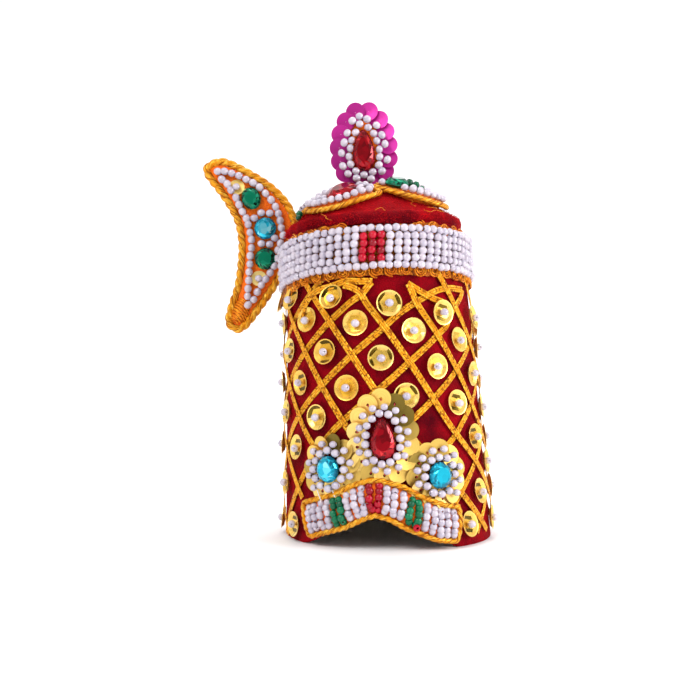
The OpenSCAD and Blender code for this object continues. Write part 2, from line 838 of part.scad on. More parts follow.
// Places its children on the flower's middle plane: X across, Y up, Z to the front
module on_finial(z, off = 0) {
    leaned() translate([finial_at[0], finial_at[1] - off, z]) rotate([90, 0, 0]) children();
}

// The petals' foot rests on the cap
module finial_petals() {
    color("magenta") difference() {
        on_finial(finial_z, -finial_t / 2) linear_extrude(finial_t)
            petal_outline(finial_w, finial_h, finial_petal_count);
        leaned() rotate_extrude() polygon(concat(
            [for (k = [0:10]) let (r = cap_r * k / 10) [r, cap_z(r) + 2 * gap]],
            [[cap_r, tube_h], [0, tube_h]]));
    }
}

module finial_pearls() {
    extra = pearl_d + finial_ring_gap;
    middles = oval(finial_stone_w + extra, finial_stone_h + extra, outline_points);
    on_finial(finial_stone_z, finial_t / 2 + gap + pearl_r)
        strung_pearls([for (p = evenly(middles, finial_pearl_count)) [p[0], p[1], 0]]);
}

module finial_stone() {
    on_finial(finial_stone_z, finial_t / 2 + gap) drop_stone(finial_stone_w, finial_stone_h);
}

velvet_tube();
velvet_cap();
lace_band();
pearl_band();
red_bead_block();
lattice_left();
lattice_right();
body_sequins();
sequin_pearls();
arch_backing();
arch_beads_white();
arch_beads_green();
arch_beads_red();
arch_cord();
medallion_centre_petals();
medallion_centre_pearls();
medallion_centre_stone();
medallion_left_petals();
medallion_left_pearls();
medallion_left_stone();
medallion_right_petals();
medallion_right_pearls();
medallion_right_stone();
crescent_felt();
crescent_cord();
crescent_pearls();
crescent_sequins();
crescent_stone_top();
crescent_stone_middle();
crescent_stone_low();
leaf_pad_front();
leaf_cord_front();
leaf_stone_front();
leaf_pad_right();
leaf_cord_right();
leaf_stone_right();
leaf_pad_back();
leaf_cord_back();
leaf_stone_back();
leaf_pad_left();
leaf_cord_left();
leaf_stone_left();
leaf_tip_beads();
finial_petals();
finial_pearls();
finial_stone();
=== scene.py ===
from math import acos, asin, atan2, cos, degrees, hypot, pi, radians, sin, sqrt, tan
from random import Random

import bpy
from mathutils import Matrix, Vector


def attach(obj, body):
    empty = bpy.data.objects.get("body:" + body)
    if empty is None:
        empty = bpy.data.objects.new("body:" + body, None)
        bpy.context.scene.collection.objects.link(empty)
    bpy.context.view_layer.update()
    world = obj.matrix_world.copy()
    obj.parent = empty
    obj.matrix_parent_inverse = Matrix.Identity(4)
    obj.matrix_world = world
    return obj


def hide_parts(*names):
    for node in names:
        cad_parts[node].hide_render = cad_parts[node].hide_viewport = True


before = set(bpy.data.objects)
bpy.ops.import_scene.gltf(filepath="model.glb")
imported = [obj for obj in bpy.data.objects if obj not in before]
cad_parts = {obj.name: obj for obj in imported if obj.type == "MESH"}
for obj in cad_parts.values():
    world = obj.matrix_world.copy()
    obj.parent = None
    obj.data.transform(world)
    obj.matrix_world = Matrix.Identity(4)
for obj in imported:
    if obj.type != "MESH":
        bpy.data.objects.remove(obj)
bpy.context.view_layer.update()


# Studio: a pale seamless floor that curves up behind the crown, soft lamps on the crown and
# one on the backdrop, and the camera, which stands where the photograph was taken from.
def only(*pieces):
    """Selects these pieces and nothing else; the last one is the active one"""
    if bpy.context.mode != "OBJECT":
        bpy.ops.object.mode_set(mode="OBJECT")
    bpy.ops.object.select_all(action="DESELECT")
    for piece in pieces:
        piece.select_set(True)
        bpy.context.view_layer.objects.active = piece


def edited(piece, *steps, kind=None, test=None):
    """Runs mesh operators, (name, settings), on the whole mesh, or on the edges or faces whose
    middle and direction pass a test"""
    only(piece)
    bpy.ops.object.mode_set(mode="EDIT")
    if kind:
        bpy.ops.mesh.select_mode(type=kind)
        bpy.ops.mesh.select_all(action="DESELECT")
        bpy.ops.object.mode_set(mode="OBJECT")
        points = piece.data.vertices
        if kind == "FACE":
            for face in piece.data.polygons:
                face.select = bool(test(face.center, face.normal))
        else:
            for edge in piece.data.edges:
                a, b = (points[v].co for v in edge.vertices)
                edge.select = bool(test((a + b) / 2, b - a))
        bpy.ops.object.mode_set(mode="EDIT")
    else:
        bpy.ops.mesh.select_all(action="SELECT")
    for step, settings in steps:
        getattr(bpy.ops.mesh, step)(**settings)
    bpy.ops.object.mode_set(mode="OBJECT")


def new_finish(name, colour, roughness, metallic=0.0, **plain):
    """A material with its plain numbers set on the shader's own sockets, and its nodes"""
    finish = bpy.data.materials.new(name)
    finish.use_nodes = True
    shader = finish.node_tree.nodes["Principled BSDF"]
    shader.inputs["Base Color"].default_value = (*colour, 1)
    shader.inputs["Roughness"].default_value = roughness
    shader.inputs["Metallic"].default_value = metallic
    for socket, value in plain.items():
        shader.inputs[socket.replace("_", " ")].default_value = value
    return finish, finish.node_tree


def add(tree, kind, settings=None, **sockets):
    """Adds a node; a socket is given a plain value or another node's output"""
    node = tree.nodes.new("ShaderNode" + kind)
    for name, value in (settings or {}).items():
        setattr(node, name, value)
    for name, value in sockets.items():
        socket = node.inputs[int(name[1:]) if name[1:].isdigit() else name.replace("_", " ")]
        if isinstance(value, bpy.types.NodeSocket):
            tree.links.new(value, socket)
        else:
            socket.default_value = value
    return node


def tint(tree, mask, low, high):
    """Colour between two by a mask; each is a plain colour or another node's output"""
    low, high = ((*end, 1) if isinstance(end, tuple) else end for end in (low, high))
    return add(tree, "Mix", {"data_type": "RGBA"}, _0=mask, _6=low, _7=high).outputs[2]


def spread(tree, value, low, high, to_low=0.0, to_high=1.0):
    """Value between two limits stretched to two others"""
    node = add(tree, "MapRange", None, Value=value, From_Min=low, From_Max=high,
               To_Min=to_low, To_Max=to_high)
    return node.outputs[0]


def maths(tree, operation, a, b=0.0):
    return add(tree, "Math", {"operation": operation}, _0=a, _1=b).outputs[0]


def new_group(name, inputs, outputs):
    """A node group whose sockets are plain values apart from an input Vector, with its ends"""
    group = bpy.data.node_groups.new(name, "ShaderNodeTree")
    for socket in inputs:
        group.interface.new_socket(socket, in_out="INPUT", socket_type=(
            "NodeSocketVector" if socket == "Vector" else "NodeSocketFloat"))
    for socket in outputs:
        group.interface.new_socket(socket, in_out="OUTPUT", socket_type="NodeSocketFloat")
    given = group.nodes.new("NodeGroupInput")
    return group, given.outputs, group.nodes.new("NodeGroupOutput").inputs


# Soft uneven patches of a size in millimetres, from 0 to 1
patches, given, result = new_group("mottle", ("Vector", "Size", "Detail"), ("Mask",))
noise = add(patches, "TexNoise", None, Vector=given["Vector"],
            Scale=maths(patches, "DIVIDE", 1000.0, given["Size"]), Detail=given["Detail"])
patches.links.new(spread(patches, noise.outputs["Fac"], 0.3, 0.7), result["Mask"])


def mottle(tree, size, detail):
    """Mask of soft uneven patches, by Object coordinates"""
    spot = add(tree, "TexCoord").outputs["Object"]
    return add(tree, "Group", {"node_tree": patches}, Vector=spot, Size=size,
               Detail=detail).outputs["Mask"]


def dress(tree, colour, rough=None, height=None, depth=0.0):
    """Feeds a material's shader; the height is a bump of a depth in millimetres"""
    shader = tree.nodes["Principled BSDF"]
    tree.links.new(colour, shader.inputs["Base Color"])
    if rough is not None:
        tree.links.new(rough, shader.inputs["Roughness"])
    if height is not None:
        bump = add(tree, "Bump", None, Height=height, Distance=depth / 1000)
        tree.links.new(bump.outputs["Normal"], shader.inputs["Normal"])


only()
bpy.ops.mesh.primitive_plane_add(size=4, location=(0, -0.8, 0))
floor = bpy.context.object
floor.name = "studio_floor"
edited(floor, ("extrude_region_move", {"TRANSFORM_OT_translate": {"value": (0, 0, 3)}}),
       kind="EDGE", test=lambda middle, way: middle.y > 1.9)
edited(floor, ("bevel", {"offset": 0.8, "segments": 16}),
       kind="EDGE", test=lambda middle, way: middle.y > 1.9 and middle.z < 0.1)
bpy.ops.object.shade_smooth()
floor_paint, tree = new_finish("floor_paint", (0.92, 0.92, 0.93), 0.7)
dress(tree, tint(tree, mottle(tree, 60, 3), (0.91, 0.91, 0.92), (0.94, 0.94, 0.95)))
floor.data.materials.append(floor_paint)

for name, spot, aim, size, watts in (
    ("key_lamp", (-0.34, -0.46, 0.50), (0, 0, 0.05), 0.26, 2.5),
    ("side_lamp", (0.55, -0.24, 0.24), (0, 0, 0.05), 0.28, 3.1),
    ("top_lamp", (0.05, 0.25, 0.72), (0, 0, 0.04), 0.5, 1.5),
    ("backdrop_lamp", (0, 0.42, 0.95), (0, 1.1, 0.3), 0.7, 5.0),
):
    bpy.ops.object.light_add(type="AREA", location=spot)
    lamp = bpy.context.object
    lamp.name = name
    lamp.data.size = size
    lamp.data.energy = watts
    lamp.rotation_euler = (Vector(aim) - Vector(spot)).to_track_quat("-Z", "Y").to_euler()

world = bpy.data.worlds.new("studio_air")
bpy.context.scene.world = world
world.use_nodes = True
air = world.node_tree
way = add(air, "SeparateXYZ", None, _0=add(air, "TexCoord").outputs["Generated"])
# The room in front of the crown is darker, which gives the foil and the stones a dark side
room = tint(air, spread(air, way.outputs["Y"], -0.98, -0.8), (0.4, 0.4, 0.42), (1, 1, 1))
air.links.new(room, air.nodes["Background"].inputs["Color"])
air.nodes["Background"].inputs["Strength"].default_value = 0.74
bpy.context.scene.view_settings.view_transform = "Standard"

camera_data = bpy.data.cameras.new("camera")
camera_data.lens = 47.47
camera_data.sensor_width = 36
camera_data.clip_start = 0.01
camera = bpy.data.objects.new("camera", camera_data)
camera.location = (0, -0.235, 0.040)
camera.rotation_euler = (radians(91.49), 0, radians(2.36))
bpy.context.collection.objects.link(camera)
bpy.context.scene.camera = camera


# Velvet tube: one piece of crimson velvet on stiff buckram, sewn into a tapering tube. The
# front hem is cut to an arch. Pieces are modelled upright in millimetres, and set_on_crown
# brings each to metres and leans it with the crown.
TUBE_H, FOOT_R, TAPER = 75.6, 25.7, 3.55
WALL_SLOPE = 0.047
LEAN = 2.7
# The arch of the front hem: turn, height of the bead band's middle, height of the cut edge
ARCH = (
    (-60, 6.2, -3), (-56, 6.2, 0.4), (-50, 6.4, 1.2), (-43, 7.1, 2.2), (-36, 7.9, 3.8),
    (-24, 9.3, 5.2), (-13, 11.5, 7.2), (-5, 12.4, 8.2), (5, 10.9, 6.6), (14, 8.4, 4.2),
    (27, 5.7, 1.3), (38, 4.8, 0), (44, 4.6, -3),
)
shake = Random(11)


def wall_r(z):
    return FOOT_R - TAPER * z / TUBE_H


def away(turn):
    """Direction away from the axis, at degrees counted from the front to the viewer's right"""
    return Vector((sin(radians(turn)), -cos(radians(turn)), 0))


def on_wall(turn, z, off=0.0):
    return (wall_r(z) + off) * away(turn) + Vector((0, 0, z))


def foot_z(turn):
    """Height in the crown's own frame at which the leaning tube meets the floor"""
    return -wall_r(0) * sin(radians(turn)) * tan(radians(LEAN))


def between(x, table, column):
    """Value of a column at x, on straight lines between the rows"""
    if x <= table[0][0]:
        return table[0][column]
    for low, high in zip(table, table[1:]):
        if x <= high[0]:
            return low[column] + (high[column] - low[column]) * (x - low[0]) / (high[0] - low[0])
    return table[-1][column]


def bend(piece, shape):
    """Moves each point of a mesh to where the shape takes it"""
    for point in piece.data.vertices:
        point.co = shape(point.co.copy())


def primitive(kind, lift=0.0, **settings):
    """Adds a mesh primitive, lifted off the origin, with nothing else selected"""
    only()
    getattr(bpy.ops.mesh, "primitive_" + kind + "_add")(location=(0, 0, lift), **settings)
    bpy.ops.object.transform_apply(location=True)
    return bpy.context.object


def upright(middle, way):
    return abs(way.z) > 0.5


def modified(piece, kind, **settings):
    """Adds a modifier and applies it"""
    only(piece)
    modifier = piece.modifiers.new(kind.lower(), kind)
    for name, value in settings.items():
        setattr(modifier, name, value)
    bpy.ops.object.modifier_apply(modifier=modifier.name)


def set_on_crown(piece, name, finish, nodes=(), smooth=40, above=None):
    """Leans a finished piece with the crown; it rides on the crown and stands for its CAD nodes"""
    only(piece)
    piece.name = name
    piece.data.name = name
    if finish:
        piece.data.materials.clear()
        piece.data.materials.append(finish)
    piece.matrix_world = (Matrix.Rotation(-radians(LEAN), 4, "Y") @ Matrix.Scale(0.001, 4)
                          @ piece.matrix_world)
    bpy.ops.object.transform_apply(location=True, rotation=True, scale=True)
    if above is not None:
        for point in piece.data.vertices:
            point.co.z = max(point.co.z, above / 1000)
    if smooth:
        bpy.ops.object.shade_smooth_by_angle(angle=radians(smooth))
    else:
        bpy.ops.object.shade_flat()
    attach(piece, "root")
    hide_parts(*nodes)


def velvet_tube_shape(spot):
    turn = degrees(atan2(spot.x, -spot.y))
    foot = foot_z(turn)
    if ARCH[0][0] < turn < ARCH[-1][0]:
        foot = max(foot, between(turn, ARCH, 2))
    z = foot + (TUBE_H - foot) * spot.z
    # The cloth buckles a little between its stitches
    wide = 0.16 * sin(radians(3 * turn + 70)) * sin(z / 9)
    narrow = 0.1 * sin(radians(7 * turn)) * sin(z / 14 + 1)
    return on_wall(turn, z, wide + narrow - 0.06)


velvet_tube = primitive("cylinder", 0.5, vertices=240, radius=1, depth=1, end_fill_type="NOTHING")
edited(velvet_tube, ("subdivide", {"number_cuts": 71}), kind="EDGE", test=upright)
bend(velvet_tube, velvet_tube_shape)

pile, tree = new_finish(
    "crimson_velvet", (0.2, 0.0, 0.006), 0.85, Sheen_Weight=1.0, Sheen_Roughness=0.3,
    Sheen_Tint=(1.0, 0.02, 0.02, 1), Specular_IOR_Level=0.04)
tufts = mottle(tree, 0.35, 2)
ground = add(tree, "Mix", {"data_type": "RGBA", "blend_type": "MULTIPLY"}, _0=0.5,
             _6=tint(tree, mottle(tree, 7, 4), (0.07, 0.0, 0.004), (0.34, 0.001, 0.007)),
             _7=tint(tree, tufts, (0.3, 0.3, 0.3), (1, 1, 1)))
dress(tree, ground.outputs[2], spread(tree, tufts, 0, 1, 0.62, 0.9), tufts, 0.12)

lining, tree = new_finish("buckram_lining", (0.78, 0.74, 0.66), 0.9)
weave = add(tree, "TexWave", {"bands_direction": "Z"}, Scale=420.0, Distortion=0.6,
            Vector=add(tree, "TexCoord").outputs["Object"]).outputs["Fac"]
dress(tree, tint(tree, weave, (0.66, 0.60, 0.52), (0.86, 0.82, 0.75)), None, weave, 0.08)

velvet_tube.data.materials.append(pile)
velvet_tube.data.materials.append(lining)
modified(velvet_tube, "SOLIDIFY", thickness=1.8, offset=-1, use_even_offset=True, material_offset=1)
modified(velvet_tube, "BEVEL", width=0.45, segments=3, limit_method="ANGLE",
         angle_limit=radians(50))
set_on_crown(velvet_tube, "velvet_tube_cloth", None, ["velvet_tube"], above=0)


# Velvet cap: a round of the same velvet, eased over a shallow stuffed top. Its edge is cut
# raw and left fuzzy; it laps over the lace at the front and bulges out at the viewer's left.
CAP_R, CAP_TURNED = 21.0, 0.84


def cap_z(r):
    return 89.4 - 0.376 * r - 0.00765 * r * r


def cap_edge(turn, t):
    """Distance from the axis and height, from where the cap turns down, 0, to its raw edge, 1"""
    front = max(0.0, cos(turn)) ** 2
    bulge = max(0.0, 1 - abs(degrees(turn) + 78) / 16)
    r = CAP_R + (0.3 + 1.6 * front + 0.9 * bulge) * sin(t * pi / 2)
    r += t * (0.16 * sin(23 * turn + 1) + 0.1 * sin(41 * turn))
    low = 77.4 - 2.5 * front - 2.2 * bulge + 0.25 * sin(9 * turn + 2)
    return r, cap_z(CAP_R) * (1 - t ** 1.5) + low * t ** 1.5


def cap_shape(spot):
    turn = atan2(spot.x, -spot.y)
    ease = acos(max(-1.0, min(1.0, spot.z))) / (pi / 2)
    if ease < CAP_TURNED:
        r = CAP_R * ease / CAP_TURNED
        z = cap_z(r) + 0.35 * sin(spot.x * 7 + 1) * sin(spot.y * 6) * (1 - (r / CAP_R) ** 4) - 0.1
    else:
        r, z = cap_edge(turn, (ease - CAP_TURNED) / (1 - CAP_TURNED))
    return Vector((r * sin(turn), -r * cos(turn), z))


OUTWARD = ("normals_make_consistent", {"inside": False})
velvet_cap = primitive("uv_sphere", segments=192, ring_count=128, radius=1)
edited(velvet_cap, ("bisect", {
    "plane_co": (0, 0, 0.001), "plane_no": (0, 0, 1), "clear_inner": True}))
bend(velvet_cap, cap_shape)
edited(velvet_cap, OUTWARD)
modified(velvet_cap, "SOLIDIFY", thickness=1.2, offset=-1)
set_on_crown(velvet_cap, "velvet_cap_cloth", pile, ["velvet_cap"], smooth=60)


# Where the cap is sewn to the tube the velvet of both is turned in to a soft welt
def welt_shape(spot):
    turn = degrees(atan2(spot.x, -spot.y))
    swell = 1 + 0.07 * sin(radians(19 * turn)) + 0.05 * sin(radians(31 * turn + 40))
    r = WELT_R + 1.25 * swell * (hypot(spot.x, spot.y) - WELT_R)
    return r * away(turn) + Vector((0, 0, 76.5 + 1.65 * swell * spot.z))


WELT_R = 20.9
velvet_welt = primitive("torus", major_segments=240, minor_segments=14, major_radius=WELT_R,
                        minor_radius=1)
bend(velvet_welt, welt_shape)
set_on_crown(velvet_welt, "velvet_welt", pile, ["velvet_cap"], smooth=60)


def joined(pieces):
    only(*pieces)
    bpy.ops.object.join()
    return bpy.context.object


def copies(model, places, shades=None):
    """One mesh of a copy of the model at each place; the model itself is used up"""
    made = []
    for index, place in enumerate(places):
        one = bpy.data.objects.new("copy", model.data.copy())
        one.matrix_world = place
        bpy.context.collection.objects.link(one)
        shade = one.data.attributes.new("shade", "FLOAT", "POINT")
        value = shades[index] if shades else shake.random()
        shade.data.foreach_set("value", [value] * len(one.data.vertices))
        made.append(one)
    bpy.context.view_layer.update()
    piece = joined(made)
    bpy.ops.object.transform_apply(location=True, rotation=True, scale=True)
    bpy.data.objects.remove(model)
    return piece


def facing(spot, out, up=(0, 0, 1), turn=0.0, size=1.0):
    """Place with its Z along out, its Y towards up, turned by degrees about Z"""
    z = Vector(out).normalized()
    x = Vector(up).cross(z).normalized()
    axes = Matrix((x, z.cross(x), z)).transposed().to_4x4()
    return (Matrix.Translation(spot) @ axes @ Matrix.Rotation(radians(turn), 4, "Z")
            @ Matrix.Diagonal((*([size] * 3 if isinstance(size, (int, float)) else size), 1)))


def shaken(spot, out, small, large, up=(0, 0, 1)):
    """A place turned at random and of a size between two"""
    return facing(spot, out, up, shake.uniform(0, 360), shake.uniform(small, large))


# Loose fibres of the raw edge, and the brushed pile above it
fuzz, tree = new_finish(
    "crimson_fuzz", (0.5, 0.0, 0.01), 0.9, Sheen_Weight=1.0, Sheen_Roughness=0.4,
    Sheen_Tint=(1.0, 0.05, 0.05, 1), Specular_IOR_Level=0.04)
dress(tree, tint(tree, mottle(tree, 2.5, 3), (0.14, 0.0, 0.004), (0.72, 0.006, 0.012)))
fibre = primitive("cone", 0.5, vertices=3, radius1=0.07, radius2=0.02, depth=1.1)
edited(fibre, ("subdivide", {"number_cuts": 1}), kind="EDGE", test=upright)
bend(fibre, lambda spot: spot + Vector((0.3 * spot.z * spot.z, 0, 0)))
places = []
for _ in range(4200):
    turn = shake.uniform(-180, 180)
    r, z = cap_edge(radians(turn), shake.uniform(0.05, 1.0) ** 0.5)
    out = away(turn) + Vector(
        (shake.uniform(-0.8, 0.8), shake.uniform(-0.8, 0.8), shake.uniform(-0.9, 0.6)))
    places.append(shaken((r - 0.25) * away(turn) + Vector((0, 0, z)), out, 0.45, 1.1))
for _ in range(3600):
    turn, r = shake.uniform(-180, 180), CAP_R * shake.uniform(0.2, 1.0) ** 0.5
    out = away(turn + shake.uniform(-50, 50)) + Vector((0, 0, shake.uniform(-0.35, 0.5)))
    places.append(shaken(r * away(turn) + Vector((0, 0, cap_z(r) - 0.15)), out, 0.4, 0.9))
set_on_crown(copies(fibre, places), "cap_fibres", fuzz, ["velvet_cap"], smooth=0)


# Lace tape: an open braid of gold and orange thread with a row of small coils along each
# edge. It is sewn round the top of the tube, and the beads of the band lie on it.
BAND_H = 10.56
at_band = Matrix.Translation((0, 0, 67.3)) @ Matrix.Rotation(radians(-4.9), 4, "X")
TAPE_R = 24.2


def lace_hang(turn):
    """How far the tape's lower edge hangs, more at the viewer's left where it came loose"""
    near = max(0.0, 1 - abs(turn + 78) / 34)
    return 1.5 + 2.8 * near * near * (3 - 2 * near)


def tape_z(turn, h):
    """Height on the crown of a spot on the tape, which is tipped with the bead band"""
    return (at_band @ (TAPE_R * away(turn) + Vector((0, 0, h)))).z


def tape_shape(spot):
    turn = 360 * spot.x
    low = -BAND_H / 2 - lace_hang(turn) + 0.3 * abs(sin(radians(turn * 23))) - 0.1
    front = max(0.0, 1 - abs((turn + 180) % 360 - 183.5) / 26) ** 0.5
    high = BAND_H / 2 + 0.75 + 0.2 * sin(radians(turn * 31)) - 1.3 * front
    v = spot.y + 0.5
    ripple = 0.12 * sin(radians(turn * 46)) * (1 - v)
    flare = 0.5 * max(0, lace_hang(turn) - 1.6) * (1 - v) ** 4
    return on_wall(turn, tape_z(turn, low + (high - low) * v), 0.4 + ripple + flare)


def rolled_strip(along, across, shape, thickness=0.0, size=None):
    """A strip of a grid, shaped from x along it and y across it, both from -0.5 to 0.5; with a
    size, its UV map is in millimetres"""
    strip = primitive("grid", x_subdivisions=along, y_subdivisions=across, size=1)
    if size:
        for corner in strip.data.uv_layers.active.data:
            corner.uv = (corner.uv.x * size[0], corner.uv.y * size[1])
    bend(strip, shape)
    edited(strip, ("remove_doubles", {"threshold": 0.002}))
    if thickness:
        modified(strip, "SOLIDIFY", thickness=thickness, offset=0)
    edited(strip, OUTWARD)
    return strip


def plait_group():
    """Wound thread by UV in millimetres: ridges along it, crossed by threads at a slant. It puts
    out their height and a tone for each thread"""
    group, given, result = new_group(
        "plait", ("Vector", "Pitch", "Ridges", "Slant"), ("Height", "Tone"))

    def calc(operation, a, b):
        return maths(group, operation, a, b)

    place = add(group, "SeparateXYZ", None, _0=given["Vector"])
    across = calc("MULTIPLY", place.outputs["Y"], given["Ridges"])
    slope = calc("MULTIPLY", calc("PINGPONG", across, 1.0), given["Slant"])
    phase = calc("ADD", calc("DIVIDE", place.outputs["X"], given["Pitch"]), slope)
    thread, ridge = (calc("POWER", calc("MULTIPLY", calc("PINGPONG", run, 0.5), 2.0), 0.5)
                     for run in (phase, across))
    height = calc("ADD", calc("MULTIPLY", thread, 0.5), calc("MULTIPLY", ridge, 0.5))
    group.links.new(height, result["Height"])
    cell = add(group, "CombineXYZ", None, _0=calc("FLOOR", phase, 0.0),
               _1=calc("FLOOR", across, 0.0))
    tone = add(group, "TexWhiteNoise", {"noise_dimensions": "2D"}, Vector=cell.outputs[0])
    group.links.new(tone.outputs["Value"], result["Tone"])
    return group


plait_tree = plait_group()


def plaited_finish(name, dark, gold, glint, pitch, ridges=0.0, slant=0.0, turn=0.0, depth=0.14):
    """Gold thread laid in a plait; turn slants the threads of a plain winding"""
    finish, tree = new_finish(name, gold, 0.4, 0.4, Specular_IOR_Level=0.2)
    flat = add(tree, "Mapping", None, Vector=add(tree, "UVMap").outputs["UV"],
               Rotation=(0, 0, radians(turn)))
    plait = add(tree, "Group", {"node_tree": plait_tree}, Vector=flat.outputs[0], Pitch=pitch,
                Ridges=ridges, Slant=slant)
    height, tone = plait.outputs["Height"], plait.outputs["Tone"]
    soiled = tint(tree, spread(tree, mottle(tree, 1.4, 3), 0.45, 1, 0, 0.6),
                  tint(tree, spread(tree, tone, 0.55, 1.0), gold, glint),
                  tuple(0.55 * low + 0.45 * high for low, high in zip(dark, gold)))
    # Painted shade: the valleys between threads are darkened, along with dark specks of threads by
    # their random tone
    valley_shade_and_specks = maths(tree, "MAXIMUM", spread(tree, height, 0.15, 0.6 if ridges else 0.34, 1, 0),
                   spread(tree, tone, 0.1, 0.2, 0.8, 0))
    dress(tree, tint(tree, valley_shade_and_specks, soiled, dark), spread(tree, tone, 0, 1, 0.5, 0.26), height,
          depth)
    return finish


tape_gold = plaited_finish("lace_tape_thread", (0.07, 0.012, 0.001), (0.42, 0.10, 0.004),
                           (0.70, 0.24, 0.012), 0.42, 0.9, 1.2)
lace_tape = rolled_strip(500, 14, tape_shape, 0.3, (148.0, 13.0))
set_on_crown(lace_tape, "lace_tape", tape_gold, ["lace_band"], smooth=60)

# Gold thread of the coils: fine strands laid side by side at a slant
zari, tree = new_finish("gold_orange_thread", (0.8, 0.3, 0.01), 0.42, 0.4, Specular_IOR_Level=0.2)
spot, strands = add(tree, "TexCoord").outputs["Object"], 620.0
height = add(tree, "TexWave", {"wave_profile": "SIN", "bands_direction": "DIAGONAL"}, Vector=spot,
             Scale=strands, Distortion=1.5, Detail=2.0).outputs["Fac"]
noise = add(tree, "TexNoise", None, Vector=spot, Scale=strands, Detail=3.0)
shade = spread(tree, noise.outputs["Fac"], 0.35, 0.65)
gold = tint(tree, shade, (0.66, 0.15, 0.004), (0.95, 0.36, 0.018))
# Painted shade: the grooves between the strands are darkened
dress(tree, tint(tree, spread(tree, height, 0.0, 0.25, 1, 0), gold, (0.36, 0.07, 0.003)),
      spread(tree, shade, 0, 1, 0.55, 0.3), height, 0.15)


def thread_mesh(points, radius, sides=2):
    """Round thread along points, as a mesh"""
    curve = bpy.data.curves.new("thread", "CURVE")
    curve.dimensions = "3D"
    curve.bevel_depth = radius
    curve.bevel_resolution = sides - 1
    curve.use_fill_caps = True
    spline = curve.splines.new("POLY")
    spline.points.add(len(points) - 1)
    for knot, point in zip(spline.points, points):
        knot.co = (*point, 1)
    piece = bpy.data.objects.new("thread", curve)
    bpy.context.collection.objects.link(piece)
    only(piece)
    bpy.ops.object.convert(target="MESH")
    return bpy.context.object


# Each coil is wound from its dark middle outwards, and the coils touch like a chain
COIL_START, COIL_R, COIL_STEPS = 0.4, 1.7, 42
spots = []
for k in range(COIL_STEPS + 1):
    r = COIL_START + (COIL_R - COIL_START) * k / COIL_STEPS
    spots.append((r * cos(0.36 * k), r * sin(0.36 * k),
                  0.1 * sin(0.8 * k) + 0.2 * (1 - k / COIL_STEPS)))
coil = thread_mesh(spots, 0.17, 1)
places = []
for low_edge, count in ((True, 40), (False, 38)):
    for k in range(count):
        turn = 360 * k / count + shake.uniform(-1, 1)
        turn = (turn + 180) % 360 - 180
        if not low_edge and -18 < turn < 25:
            continue  # the cap covers the tape's upper edge at the front
        h = -BAND_H / 2 - lace_hang(turn) + 1.35 if low_edge else BAND_H / 2 - 0.65
        places.append(shaken(on_wall(turn, tape_z(turn, h), 0.95), away(turn), 0.92, 1.08))
set_on_crown(copies(coil, places), "lace_coils", zari, ["lace_band"], smooth=60)


def smooth_points(points, steps, closed=False):
    """Catmull-Rom curve through the points"""
    count = len(points)
    curve = []
    for i in range(count if closed else count - 1):
        a, b, c, d = (
            points[(i + k) % count] if closed else points[max(0, min(count - 1, i + k))]
            for k in (-1, 0, 1, 2))
        for s in range(steps):
            t = s / steps
            curve.append(0.5 * (2 * b + (c - a) * t + (2 * a - 5 * b + 4 * c - d) * t * t
                                + (3 * b - a - 3 * c + d) * t ** 3))
    return curve if closed else curve + [points[-1]]


# Ends of gold thread that were left on the cap
loose_ends = []
for spots in (
    ((-12.2, -16.5, 78.8), (-11.2, -19.4, 77.8), (-10.6, -20.6, 76.9), (-9.6, -22.3, 76.2)),
    ((0.7, -21.5, 78.1), (1.9, -20.6, 78.8), (3.0, -21.8, 77.8)),
    ((9.2, -13.1, 82.0), (9.8, -14.6, 81.0), (9.2, -15.6, 80.2), (10.4, -16.4, 79.4)),
    ((12.2, -18.0, 78.2), (13.6, -18.4, 77.6), (15.0, -15.0, 78.5), (17.0, -13.6, 78.2)),
    ((13.0, -16.6, 79.0), (14.6, -16.0, 78.9), (15.6, -14.6, 78.9)),
):
    curve = smooth_points([Vector(spot) for spot in spots], 6)
    loose_ends.append(thread_mesh(
        [spot + 0.25 * away(spot.x * 190) * sin(k) for k, spot in enumerate(curve)], 0.06))
set_on_crown(joined(loose_ends), "lace_loose_ends", zari, ["lace_band"], smooth=60)


# Bead band: six rows of pearl beads. The top and bottom rows are strings that run round the
# crown, and the four between are short columns at a slant, with a block of red at the front.
PEARL = 1.86
BAND_ROW = 1.74


def bead(diameter, length, hole):
    """Round bead with a sunk hole at each end, along Z"""
    rings = 6
    one = primitive("uv_sphere", segments=12, ring_count=rings, radius=diameter / 2)
    edited(one, ("delete", {"type": "FACE"}), kind="FACE",
           test=lambda middle, normal: abs(normal.z) > cos(pi / rings * 0.75))
    top = max(point.co.z for point in one.data.vertices)
    edited(one, ("extrude_region_move", {}), kind="EDGE",
           test=lambda middle, way: abs(middle.z) > top - 0.01 and abs(way.z) < 0.001)
    for point in one.data.vertices:
        if point.select:
            r = hypot(point.co.x, point.co.y)
            point.co.x *= hole / 2 / r
            point.co.y *= hole / 2 / r
            point.co.z -= 0.16 * (1 if point.co.z > 0 else -1)
        point.co.z *= length / (2 * top)
    edited(one, OUTWARD)
    return one


def carried(tree, name="shade"):
    """The value that a mesh carries, such as each copy's own shade"""
    return add(tree, "Attribute", {"attribute_name": name}).outputs["Fac"]


pearl, tree = new_finish(
    "pearl_glaze", (0.54, 0.50, 0.58), 0.2, Coat_Weight=0.8, Coat_Roughness=0.06,
    Subsurface_Weight=0.1, Subsurface_Radius=(0.6, 0.5, 0.5), Subsurface_Scale=0.0004)
own = carried(tree)
lustre = tint(tree, spread(tree, mottle(tree, 0.9, 1), 0, 1, 0, 0.5),
              tint(tree, own, (0.40, 0.36, 0.46), (0.55, 0.51, 0.59)), (0.62, 0.50, 0.54))
dress(tree, lustre, spread(tree, own, 0, 1, 0.18, 0.32), mottle(tree, 0.5, 2), 0.01)


